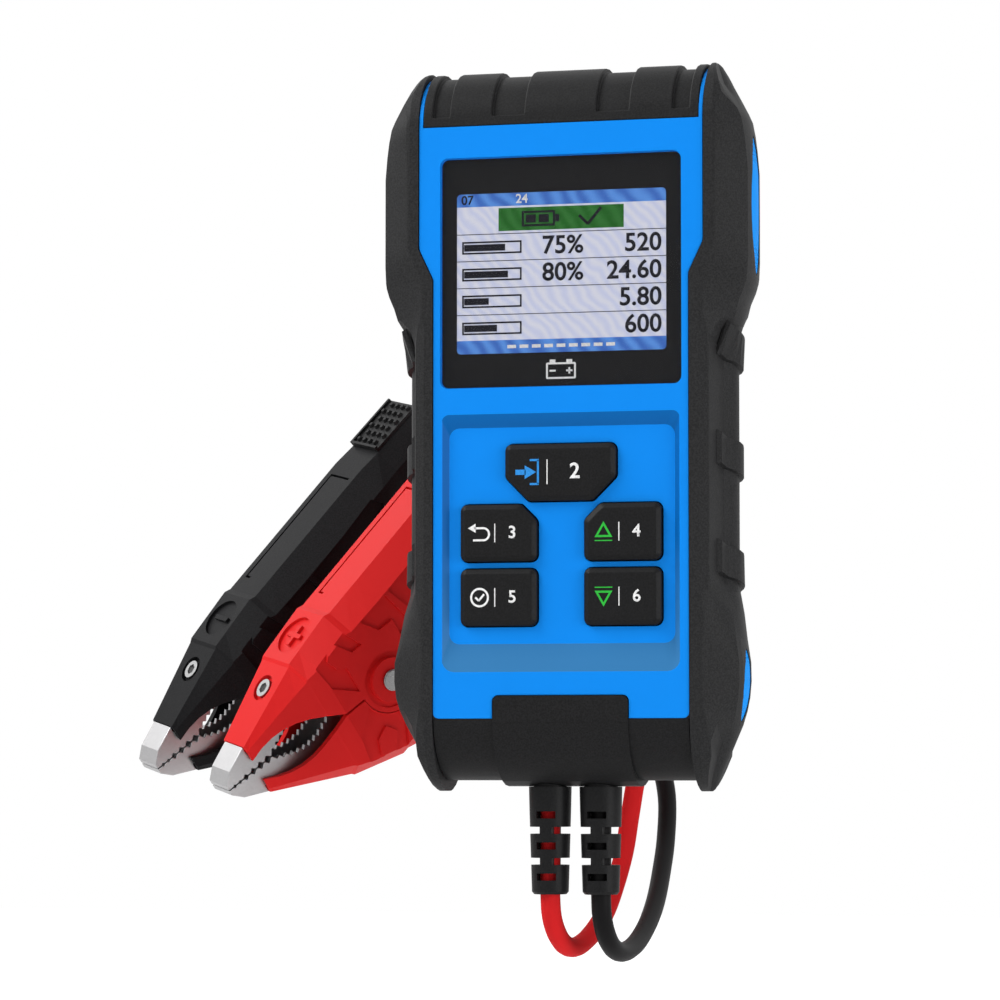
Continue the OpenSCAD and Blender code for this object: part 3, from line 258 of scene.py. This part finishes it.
sleeve_rubber = moulded("sleeve_rubber", (0.0085, 0.0085, 0.009), rough=0.46, grain=2400,
                        painted_glint=0.25)
red_jacket = moulded("red_silicone", (0.60, 0.017, 0.019), rough=0.55, grain=900, depth=0.00001,
                     sheen=0.02)
black_jacket = moulded("black_silicone", (0.0075, 0.007, 0.0075), rough=0.48, grain=900,
                       depth=0.00001, sheen=0.07)
for colour, route, mat in (("red", red_route, red_jacket), ("black", black_route, black_jacket)):
    sleeve = dress("strain_relief_" + colour, colour + "_strain_relief", sleeve_rubber,
                   width=0.00025)
    lead(colour + "_lead", route, mat, "lead_" + colour)


# Front shell: the blue moulding that carries the window and the keys. Satin ABS with a
# fine grain; the tool leaves a small radius on every outer edge. The sloping sides of the
# key recess carry painted shade, a darker blue, and lower down a paler, greyer painted sheen.
satin_blue = moulded("satin_blue_plastic", (0.003, 0.245, 0.83), rough=0.45, grain=1500,
                     depth=0.000012, sheen=0.08, spread=0.03)
# the sloping sides lie in this box: between the recess's floor and the face
slope_low = (-0.0325, -0.03394, -0.0735)
slope_high = (0.0325, -0.03226, 0.0085)
# painted shade: the slopes' darker blue, as if less light fell on them
painted_shade_blue = (0.002, 0.118, 0.40, 1)
# from foot_start down to foot_end the painted shade turns paler and greyer: a painted sheen
painted_shade_sheen_blue = (0.036, 0.19, 0.43, 1)
foot_start = -0.030
foot_end = -0.062
tree = satin_blue.node_tree
place = tree.nodes.new("ShaderNodeSeparateXYZ")
tree.links.new(tree.nodes["Texture Coordinate"].outputs["Object"], place.inputs["Vector"])
across, inward, upward = [
    reckon(tree, "COMPARE", place.outputs[axis], (low + high) / 2, (high - low) / 2)
    for axis, low, high in zip("XYZ", slope_low, slope_high)]
on_slope = reckon(tree, "MULTIPLY", reckon(tree, "MULTIPLY", across, inward), upward)
foot_share = scaled(tree, place.outputs["Z"], 0, 1, foot_start, foot_end)
painted_slope_blue = two_tone(tree, foot_share, painted_shade_blue, painted_shade_sheen_blue)
shader = tree.nodes["Principled BSDF"]
face_blue = shader.inputs["Base Color"].links[0].from_socket
# the slopes show the painted shade and sheen in place of the face's own blue
tree.links.new(two_tone(tree, on_slope, face_blue, painted_slope_blue), shader.inputs["Base Color"])
dress("front_shell", "front_shell_moulding", satin_blue, width=0.0005, segments=3,
      crisp=12)


# Rear shell: the plain black back half, grained ABS, closed by six screws that sit in
# round pockets.
satin_black = moulded("satin_black_plastic", (0.0120, 0.0120, 0.0125), rough=0.50, grain=2400,
                      sheen=0.09, painted_glint=0.25)
dress("rear_shell", "rear_shell_moulding", satin_black, width=0.0005)


# Top cover: a black ABS moulding whose broad raised bands wrap over the top end. It
# closes the two shells there.
cover_black = moulded("top_cover_plastic", (0.0140, 0.0140, 0.0145), rough=0.50, grain=2400,
                      sheen=0.10, painted_glint=0.3)
dress("top_cover", "banded_top_cover", cover_black, width=0.0004, segments=3)


# Bottom cover: the black ABS end piece with the wide tongue that the leads leave by. Its
# two small corners fill the rounded lower corners of the blue face.
cover = dress("bottom_cover", "bottom_cover_moulding", satin_black, width=0.0005)
face_y = -0.034
face_half_w = 0.035
face_foot = -0.078
corner_r = 0.0015
corner_lap = 0.00005
corner_w = corner_r + corner_lap
corner_thick = 0.0003
corner_proud = 0.0001
corners = []
for side in (-1, 1):
    bpy.ops.object.select_all(action="DESELECT")
    bpy.ops.mesh.primitive_cube_add(
        size=1, location=(side * (face_half_w + corner_lap - corner_w / 2),
                          face_y - corner_proud + corner_thick / 2,
                          face_foot - corner_lap + corner_w / 2))
    corner = bpy.context.object
    corner.scale = (corner_w, corner_thick, corner_w)
    bpy.ops.object.transform_apply(location=True, rotation=True, scale=True)
    bpy.ops.mesh.primitive_cylinder_add(
        vertices=64, radius=corner_r, depth=0.002, rotation=(math.pi / 2, 0, 0),
        location=(side * (face_half_w - corner_r), face_y, face_foot + corner_r))
    cutter = bpy.context.object
    cut = corner.modifiers.new("inside_radius", "BOOLEAN")
    cut.operation = "DIFFERENCE"
    cut.object = cutter
    only(corner)
    bpy.ops.object.modifier_apply(modifier="inside_radius")
    bpy.data.objects.remove(cutter)
    corner.data.materials.append(satin_black)
    corners.append(corner)
only(cover)
for corner in corners:
    corner.select_set(True)
bpy.ops.object.join()
cover.select_set(False)


# Side guards: soft black rubber over the housing's edges, thick at the ears, with three
# slanted grip pads on each side.
guard_rubber = moulded("guard_rubber", (0.0205, 0.0205, 0.0212), rough=0.52, grain=2400,
                       depth=0.00005, sheen=0.10, painted_glint=0.3)
for side in ("left", "right"):
    dress(side + "_guard", side + "_rubber_guard", guard_rubber, width=0.0004,
          angle=24)


# Ear plugs: blue lens-shaped insets of ABS, pressed into the broad sides of the ears and
# finely ribbed towards both ends.
def ribbed(name, colour, middle, plain):
    # ribs start a distance plain above and below the height middle
    mat = moulded(name, colour, rough=0.50, sheen=0.03)
    tree = mat.node_tree
    place = tree.nodes["Texture Coordinate"].outputs["Object"]
    wave = tree.nodes.new("ShaderNodeTexWave")
    wave.bands_direction = "Z"
    wave.inputs["Scale"].default_value = 260
    tree.links.new(place, wave.inputs["Vector"])
    along = tree.nodes.new("ShaderNodeSeparateXYZ")
    tree.links.new(place, along.inputs["Vector"])
    from_middle = reckon(tree, "ABSOLUTE", reckon(tree, "SUBTRACT", along.outputs["Z"], middle))
    at_ends = scaled(tree, from_middle, 0, 1, plain, plain + 0.001)
    ribs = tree.nodes.new("ShaderNodeBump")
    ribs.inputs["Distance"].default_value = 0.0003
    ribs.inputs["Strength"].default_value = 0.8
    feed(tree, reckon(tree, "MULTIPLY", wave.outputs["Fac"], at_ends), ribs.inputs["Height"])
    tree.links.new(tree.nodes["Bump"].outputs["Normal"], ribs.inputs["Normal"])
    tree.links.new(ribs.outputs["Normal"], tree.nodes["Principled BSDF"].inputs["Normal"])
    return mat


plain_share = 0.29
for end in ("upper", "lower"):
    low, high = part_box(f"right_{end}_inset")
    plug_blue = ribbed(end + "_plug_plastic", (0.004, 0.31, 0.98),
                       (low[2] + high[2]) / 2, plain_share * (high[2] - low[2]))
    for side in ("left", "right"):
        dress(f"{side}_{end}_inset", f"{side}_{end}_ear_plug", plug_blue,
              width=0.00015)


# Display window: one clear acrylic pane, glued in flush with the face. Its back is
# printed black round the picture.
window_low, window_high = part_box("display_window")
window_middle = (window_low[2] + window_high[2]) / 2
pane_back = window_high[1]
border_gap = 0.0001
picture_w = 0.0576
picture_h = 0.0432
picture_z = window_middle - 0.0002
# how thick a printed layer is
film = 0.00003


def clear(name, alpha, rough):
    # clear plastic with the faintest haze
    mat, tree, shader = blank_finish(name)
    shader.inputs["Base Color"].default_value = (0.03, 0.03, 0.035, 1)
    shader.inputs["Alpha"].default_value = alpha
    shader.inputs["Specular IOR Level"].default_value = 0.12
    haze = noise_on(tree, tree.nodes.new("ShaderNodeTexCoord").outputs["Object"], 60)
    feed(tree, scaled(tree, haze, rough, rough + 0.04), shader.inputs["Roughness"])
    return mat


dress("display_window", "clear_window_pane", clear("clear_acrylic", 0.1, 0.12),
      width=0.0002)


def ink(name, colour, other=None, glow=0.0, scale=120):
    # printed or lit colour, never quite even: two close tones in soft slanting bands
    mat, tree, shader = blank_finish(name)
    shader.inputs["Roughness"].default_value = 0.5
    shader.inputs["Specular IOR Level"].default_value = 0.15
    slant = tree.nodes.new("ShaderNodeMapping")
    slant.inputs["Rotation"].default_value = (0, math.radians(40), 0)
    tree.links.new(tree.nodes.new("ShaderNodeTexCoord").outputs["Object"], slant.inputs["Vector"])
    bands = tree.nodes.new("ShaderNodeTexWave")
    bands.inputs["Scale"].default_value = scale
    bands.inputs["Distortion"].default_value = 6
    bands.inputs["Detail"].default_value = 2
    tree.links.new(slant.outputs["Vector"], bands.inputs["Vector"])
    tone = two_tone(tree, bands.outputs["Fac"], [*colour, 1],
                    [*(other or [c * 0.9 for c in colour]), 1])
    tree.links.new(tone, shader.inputs["Base Color"])
    if glow:
        tree.links.new(tone, shader.inputs["Emission Color"])
        shader.inputs["Emission Strength"].default_value = glow
    return mat


def bar(x, z, w, h, turn=0.0, corner=0.0):
    # a flat patch in the plane of the face, w wide and h high, turned clockwise
    bpy.ops.object.select_all(action="DESELECT")
    bpy.ops.mesh.primitive_plane_add(size=1, location=(x, 0, z), rotation=(math.pi / 2, turn, 0))
    patch = bpy.context.object
    patch.scale = (w, h, 1)
    if corner:
        bpy.ops.object.transform_apply(location=False, rotation=False, scale=True)
        bpy.ops.object.mode_set(mode="EDIT")
        bpy.ops.mesh.select_all(action="SELECT")
        bpy.ops.mesh.bevel(offset=corner, segments=5, affect="VERTICES")
        bpy.ops.object.mode_set(mode="OBJECT")
    return patch


def disc(x, z, r, sides=40, turn=0.0):
    # a round patch, or one with few sides
    bpy.ops.object.select_all(action="DESELECT")
    bpy.ops.mesh.primitive_circle_add(vertices=sides, radius=r, fill_type="NGON",
                                      location=(x, 0, z), rotation=(math.pi / 2, turn, 0))
    return bpy.context.object


def hollow(patch, line):
    # keeps only a line's width along the edge of a patch
    bpy.context.view_layer.objects.active = patch
    bpy.ops.object.transform_apply(location=False, rotation=False, scale=True)
    bpy.ops.object.mode_set(mode="EDIT")
    bpy.ops.mesh.select_all(action="SELECT")
    bpy.ops.mesh.inset(thickness=line)
    bpy.ops.mesh.delete(type="FACE")
    bpy.ops.object.mode_set(mode="OBJECT")
    return patch


def numerals(text, x, z, size, align="LEFT"):
    # plain numbers, a little bolder than their typeface
    bpy.ops.object.select_all(action="DESELECT")
    bpy.ops.object.text_add(location=(x, 0, z), rotation=(math.pi / 2, 0, 0))
    words = bpy.context.object
    words.data.body = text
    words.data.size = size
    words.data.align_x = align
    words.data.align_y = "CENTER"
    words.data.resolution_u = 4
    words.data.offset = size * 0.018
    bpy.ops.object.convert(target="MESH")
    return bpy.context.object


def printed(name, patches, y, mat, body):
    # joins flat patches into one layer of ink whose face lies at depth y
    bpy.ops.object.select_all(action="DESELECT")
    for patch in patches:
        patch.select_set(True)
    layer = patches[0]
    bpy.context.view_layer.objects.active = layer
    if len(patches) > 1:
        bpy.ops.object.join()
    layer.name = name
    layer.location.y = y
    bpy.ops.object.transform_apply(location=True, rotation=True, scale=True)
    solid = layer.modifiers.new("ink", "SOLIDIFY")
    solid.thickness = film
    solid.offset = -1
    bpy.ops.object.modifier_apply(modifier="ink")
    layer.data.materials.clear()
    layer.data.materials.append(mat)
    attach(layer, body)
    layer.select_set(False)
    return layer


# the border: two rounded outlines, one inside the other, bridged into a flat ring
outer = bar(0, window_middle, window_high[0] - window_low[0] - 2 * border_gap,
            window_high[2] - window_low[2] - 2 * border_gap, corner=0.0019)
inner = bar(0, picture_z, picture_w, picture_h, corner=0.0011)
outer.select_set(True)
bpy.context.view_layer.objects.active = outer
bpy.ops.object.join()
bpy.ops.object.mode_set(mode="EDIT")
bpy.ops.mesh.select_all(action="SELECT")
bpy.ops.mesh.delete(type="ONLY_FACE")
bpy.ops.mesh.select_all(action="SELECT")
bpy.ops.mesh.bridge_edge_loops()
bpy.ops.mesh.select_all(action="SELECT")
bpy.ops.mesh.normals_make_consistent(inside=False)
bpy.ops.object.mode_set(mode="OBJECT")
border_ink = ink("black_border_ink", (0.0045, 0.0045, 0.0045), scale=40)
printed("window_border_print", [bpy.context.object], pane_back + film, border_ink, "tester")

# a plain battery sign on the border, under the picture: its case, two poles, minus and plus
white_ink = ink("white_ink", (0.86, 0.86, 0.86), scale=300)
sign_z = (window_low[2] + picture_z - picture_h / 2) / 2
case_z = sign_z - 0.0004
pole_z = sign_z + 0.0022
pole_x = 0.0023
sign = [hollow(bar(0, case_z, 0.0082, 0.0044, corner=0.0004), 0.0005),
        bar(-pole_x, pole_z, 0.0016, 0.0008), bar(pole_x, pole_z, 0.0016, 0.0008),
        bar(-pole_x, case_z, 0.0017, 0.0005), bar(pole_x, case_z, 0.0017, 0.0005),
        bar(pole_x, case_z, 0.0005, 0.0017)]
printed("battery_sign", sign, pane_back, white_ink, "tester")


# Picture: a lit colour display behind the pane, with a blue bar at its head and foot,
# a green result field, ruled rows with level bars and plain numbers.
lcd_light = ink("lit_display", (0.52, 0.55, 0.72), (0.62, 0.63, 0.72), glow=0.30)
lcd_blue = ink("display_blue", (0.045, 0.14, 0.50), (0.10, 0.28, 0.72), glow=0.2, scale=70)
lcd_green = ink("display_green", (0.012, 0.12, 0.012), (0.028, 0.17, 0.028), glow=0.1, scale=90)
lcd_dark = ink("display_dark", (0.010, 0.010, 0.016), scale=200)
picture_y = pane_back + 0.00011
picture_top = picture_z + picture_h / 2
picture_foot = picture_z - picture_h / 2
lit_w = picture_w + 0.001
head_h = 0.0035
foot_h = 0.0036
row_h = 0.00725
small_size = 0.0034
value_size = 0.0068
head_z = picture_top - head_h / 2
foot_z = picture_foot + foot_h / 2
result_z = picture_top - head_h - row_h / 2
text_left = -picture_w / 2 + 0.0012
text_right = picture_w / 2 - 0.0012
tick_short = math.radians(45)
tick_long = math.radians(-50)
printed("display_light", [bar(0, picture_z, lit_w, picture_h + 0.001)], picture_y, lcd_light,
        "tester")
printed("display_blue_bars", [bar(0, head_z, lit_w, head_h), bar(0, foot_z, lit_w, foot_h)],
        picture_y - film, lcd_blue, "tester")
printed("display_result_field", [bar(0, result_z, 0.0345, 0.0062)], picture_y - film, lcd_green,
        "tester")
# the result field's battery and tick
marks = [hollow(bar(-0.0062, result_z, 0.0092, 0.0042), 0.0006),
         bar(-0.0010, result_z, 0.0011, 0.0020),
         bar(-0.0083, result_z, 0.0028, 0.0022), bar(-0.0047, result_z, 0.0028, 0.0022),
         bar(0.0062, result_z - 0.0007, 0.0034, 0.0008, turn=tick_short),
         bar(0.0092, result_z + 0.0002, 0.0058, 0.0008, turn=tick_long),
         numerals("07", text_left, head_z, small_size)]
# each row: a ruled line, a level bar, its share and a value
rows = [("75%", "520", 0.75), ("80%", "24.60", 0.8), ("", "5.80", 0.45), ("", "600", 0.6)]
rows_lower = 0.0002
full_level = 0.0152
for k, (share, value, level) in enumerate(rows):
    z = picture_top - head_h - row_h * (k + 1.5) - rows_lower
    marks.append(bar(0, z + row_h / 2, lit_w, 0.00018))
    marks.append(hollow(bar(text_left + 0.0085, z, 0.0165, 0.0034), 0.00045))
    marks.append(bar(text_left + 0.0008 + full_level / 2 * level, z, full_level * level, 0.0018))
    marks.append(numerals(value, text_right, z, value_size, "RIGHT"))
    if share:
        marks.append(numerals(share, 0.0005, z, value_size, "CENTER"))
printed("display_marks", marks, picture_y - 2 * film, lcd_dark, "tester")
# white marks: a number in the head bar and nine dashes in the foot bar
dash_pitch = 0.0034
lit_marks = [numerals("24", -0.0125, head_z, small_size)]
for k in range(9):
    lit_marks.append(bar(dash_pitch * (k - 4), foot_z, 0.0024, 0.0009))
printed("display_light_marks", lit_marks, picture_y - 2 * film, white_ink, "tester")


# Keys: five hard black caps with a broad sloping edge. Each carries a printed sign, a
# thin line and its number.
key_plastic = moulded("black_key_plastic", (0.0085, 0.0085, 0.0090), rough=0.45, grain=2000,
                      depth=0.00004, sheen=0.12, painted_glint=0.25)
green_ink = ink("green_ink", (0.03, 0.50, 0.05), scale=300)
blue_ink = ink("blue_ink", (0.03, 0.28, 0.75), scale=300)
stroke = 0.00055
thin_stroke = 0.00028
key_names = ("enter", "back", "up", "check", "down")


def arrow_head(x, z, r, turn):
    return disc(x, z, r, sides=3, turn=turn)


def rule(x, z, h=0.0050):
    return bar(x, z, thin_stroke, h)


for number, key in enumerate(key_names, start=2):
    node = "key_" + key
    dress(node, node + "_cap", key_plastic, width=0.0004, segments=3)
    low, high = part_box(node)
    top_y = low[1] - film
    # the flange behind the wall is wider than the cap, but shares its middle
    x = (low[0] + high[0]) / 2
    z = (low[2] + high[2]) / 2
    sign_x = x - 0.0050
    if key == "enter":
        # an arrow into a bracket
        z += 0.0001
        sign = [bar(x - 0.0107, z, 0.0028, 0.0014),
                arrow_head(x - 0.0085, z, 0.0021, math.pi / 2),
                bar(x - 0.0059, z, stroke, 0.0064),
                bar(x - 0.0069, z + 0.0032, 0.0025, stroke),
                bar(x - 0.0069, z - 0.0032, 0.0025, stroke)]
        printed("enter_sign", sign, top_y, blue_ink, node)
        white_marks = [rule(x - 0.0034, z, 0.0066),
                       numerals(str(number), x + 0.0042, z, 0.0058, "CENTER")]
    else:
        white_marks = [rule(x - 0.0008, z),
                       numerals(str(number), x + 0.0040, z, 0.0046, "CENTER")]
    if key == "back":
        # an arrow that turns back: half a ring, two short bars and a head
        half_ring = hollow(disc(sign_x + 0.0010, z - 0.0003, 0.0019), stroke)
        bpy.ops.object.mode_set(mode="EDIT")
        bpy.ops.mesh.select_all(action="SELECT")
        bpy.ops.mesh.bisect(plane_co=(sign_x + 0.0010, 0, z), plane_no=(1, 0, 0), clear_inner=True)
        bpy.ops.object.mode_set(mode="OBJECT")
        white_marks += [half_ring, bar(sign_x - 0.0002, z + 0.00133, 0.0024, stroke),
                        bar(sign_x - 0.0004, z - 0.0019, 0.0028, stroke),
                        arrow_head(sign_x - 0.0018, z + 0.00133, 0.0014, -math.pi / 2)]
    if key == "check":
        # a tick in a ring
        white_marks += [hollow(disc(sign_x, z, 0.0026), stroke),
                        bar(sign_x - 0.0007, z - 0.0004, 0.0013, stroke, turn=tick_short),
                        bar(sign_x + 0.0005, z, 0.0023, stroke, turn=tick_long)]
    if key in ("up", "down"):
        # a triangle that points the key's way, with a thin line along its base
        way, turn = (1, 0) if key == "up" else (-1, math.pi)
        sign = [hollow(arrow_head(sign_x, z - 0.0001 * way, 0.0028, turn), stroke),
                bar(sign_x, z - 0.0024 * way, 0.0048, thin_stroke)]
        printed(key + "_sign", sign, top_y, green_ink, node)
    printed(key + "_print", white_marks, top_y, white_ink, node)


# Clamps: red for plus and black for minus. Each has two moulded arms, toothed jaws bent
# from steel sheet, socket screws, a rivet, a wound spring and dotted finger pads.
def brushed(name, colour, rough):
    # sheet steel with fine lines from rolling and deburring along the jaws
    mat, tree, shader = blank_finish(name)
    shader.inputs["Metallic"].default_value = 1
    lines = tree.nodes.new("ShaderNodeMapping")
    lines.inputs["Rotation"].default_value = (0, math.radians(45), math.radians(-40))
    lines.inputs["Scale"].default_value = (60, 1500, 1500)
    tree.links.new(tree.nodes.new("ShaderNodeTexCoord").outputs["Object"], lines.inputs["Vector"])
    streaks = noise_on(tree, lines.outputs["Vector"], 1, detail=3)
    tone = two_tone(tree, streaks, [c * 0.9 for c in colour] + [1],
                    [min(1, c * 1.08) for c in colour] + [1])
    tree.links.new(tone, shader.inputs["Base Color"])
    feed(tree, scaled(tree, streaks, rough - 0.06, rough + 0.08), shader.inputs["Roughness"])
    return mat


clamp_red = moulded("red_clamp_plastic", (0.66, 0.0135, 0.0135), rough=0.46, grain=1500, sheen=0.09)
clamp_black = moulded("black_clamp_plastic", (0.0110, 0.0110, 0.0118), rough=0.50, grain=2400,
                      sheen=0.05, painted_glint=0.25)
jaw_steel = brushed("jaw_steel", (0.44, 0.435, 0.44), 0.36)
screw_steel = brushed("screw_steel", (0.30, 0.30, 0.30), 0.28)
pad_rubber = moulded("pad_rubber", (0.010, 0.010, 0.0105), rough=0.55, grain=2200)
for tint, mat in (("red", clamp_red), ("black", clamp_black)):
    for arm in ("upper", "lower"):
        part = f"{tint}_{arm}"
        dress(part + "_arm", part + "_clamp_arm", mat, width=0.0003, angle=14)
        dress(part + "_jaw", part + "_steel_jaw", jaw_steel, width=0.0003, angle=25)
        dress(part + "_screw", part + "_socket_screw", screw_steel, width=0.00015)
        dress(part + "_pad", part + "_finger_pad", pad_rubber, width=0.0002)
    dress(tint + "_rivet", tint + "_hinge_rivet", screw_steel, width=0.0003, segments=3)
    dress(tint + "_spring", tint + "_torsion_spring", screw_steel, width=0, angle=60)


# Case screws: six plated cross-head screws in the back's round pockets. They hold the two
# shells together.
dress("case_screws", "plated_case_screws", screw_steel, width=0.00015)


# Inner pieces: the circuit board with its parts, the keypad mat and the display's
# holder. They can't be seen from outside, and keep their own solids.
board_green = moulded("board_green", (0.012, 0.15, 0.06), rough=0.35, spread=0.15)
mat_grey = moulded("grey_silicone", (0.25, 0.26, 0.28), rough=0.6)
holder_white = moulded("white_plastic", (0.68, 0.68, 0.66), rough=0.5)
relay_blue = moulded("relay_blue", (0.02, 0.08, 0.28), rough=0.4)
ceramic = moulded("resistor_ceramic", (0.70, 0.68, 0.62), rough=0.8, spread=0.1)
brass = brushed("terminal_brass", (0.70, 0.50, 0.20), 0.3)
inner = {"main_board": board_green, "keypad_mat": mat_grey, "lcd_holder": holder_white,
         "lcd_panel": lcd_dark, "key_switches": screw_steel, "board_screws": screw_steel,
         "buzzer": satin_black, "load_relay": relay_blue, "load_resistor": ceramic,
         "lead_terminals": brass}
for node, mat in inner.items():
    nodes[node].data.materials.clear()
    nodes[node].data.materials.append(mat)


# Studio: a white floor far below, a white surround that is brightest low in front, one
# large soft box high on the left, a weak one on the right and one behind on the left.
surround_mean = 0.34
surround_swing = 0.35
brightest_way = (0.36, -0.84, -0.40)
world = bpy.data.worlds.new("studio_world")
scene.world = world
world.use_nodes = True
sky = world.node_tree
fill = sky.nodes["Background"]
fill.inputs["Color"].default_value = (1, 1, 1, 1)
toward = sky.nodes.new("ShaderNodeVectorMath")
toward.operation = "DOT_PRODUCT"
toward.inputs[1].default_value = brightest_way
sky.links.new(sky.nodes.new("ShaderNodeTexCoord").outputs["Generated"], toward.inputs[0])
feed(sky, reckon(sky, "MULTIPLY_ADD", toward.outputs["Value"], surround_swing, surround_mean),
     fill.inputs["Strength"])
# what is seen directly, through the pane or as a reflection is plain white
white = sky.nodes.new("ShaderNodeBackground")
white.inputs["Color"].default_value = (1, 1, 1, 1)
path = sky.nodes.new("ShaderNodeLightPath")
direct = reckon(sky, "MAXIMUM", path.outputs["Is Camera Ray"], path.outputs["Is Transmission Ray"])
choose = sky.nodes.new("ShaderNodeMixShader")
feed(sky, reckon(sky, "MAXIMUM", direct, path.outputs["Is Glossy Ray"]), choose.inputs["Fac"])
sky.links.new(fill.outputs["Background"], choose.inputs[1])
sky.links.new(white.outputs["Background"], choose.inputs[2])
sky.links.new(choose.outputs["Shader"], sky.nodes["World Output"].inputs["Surface"])

for name, place, size, power in (("key_softbox", (-1.02, -0.56, 1.05), 0.9, 20.5),
                                 ("side_softbox", (1.45, -0.60, 0), 0.8, 11),
                                 ("rear_softbox", (-0.91, 0.46, 0.90), 1.0, 5.2)):
    bpy.ops.object.light_add(type="AREA", location=place)
    lamp = bpy.context.object
    lamp.name = name
    lamp.data.size = size
    lamp.data.energy = power
    lamp.rotation_euler = (-Vector(place)).to_track_quat("-Z", "Y").to_euler()

# the floor is lit by the lamps, and lifted to white where it is seen
paper_lift = 0.31
seen_lift = 0.69
bpy.ops.mesh.primitive_plane_add(size=8, location=(0, 1, -0.32))
floor = bpy.context.object
floor.name = "studio_floor"
paper, tree, shader = blank_finish("white_paper")
shader.inputs["Base Color"].default_value = (0.8, 0.8, 0.8, 1)
shader.inputs["Roughness"].default_value = 0.9
shader.inputs["Specular IOR Level"].default_value = 0
shader.inputs["Emission Color"].default_value = (1, 1, 1, 1)
seen = tree.nodes.new("ShaderNodeLightPath").outputs["Is Camera Ray"]
feed(tree, reckon(tree, "MULTIPLY_ADD", seen, seen_lift, paper_lift),
     shader.inputs["Emission Strength"])
floor.data.materials.append(paper)

scene.view_settings.view_transform = "Standard"
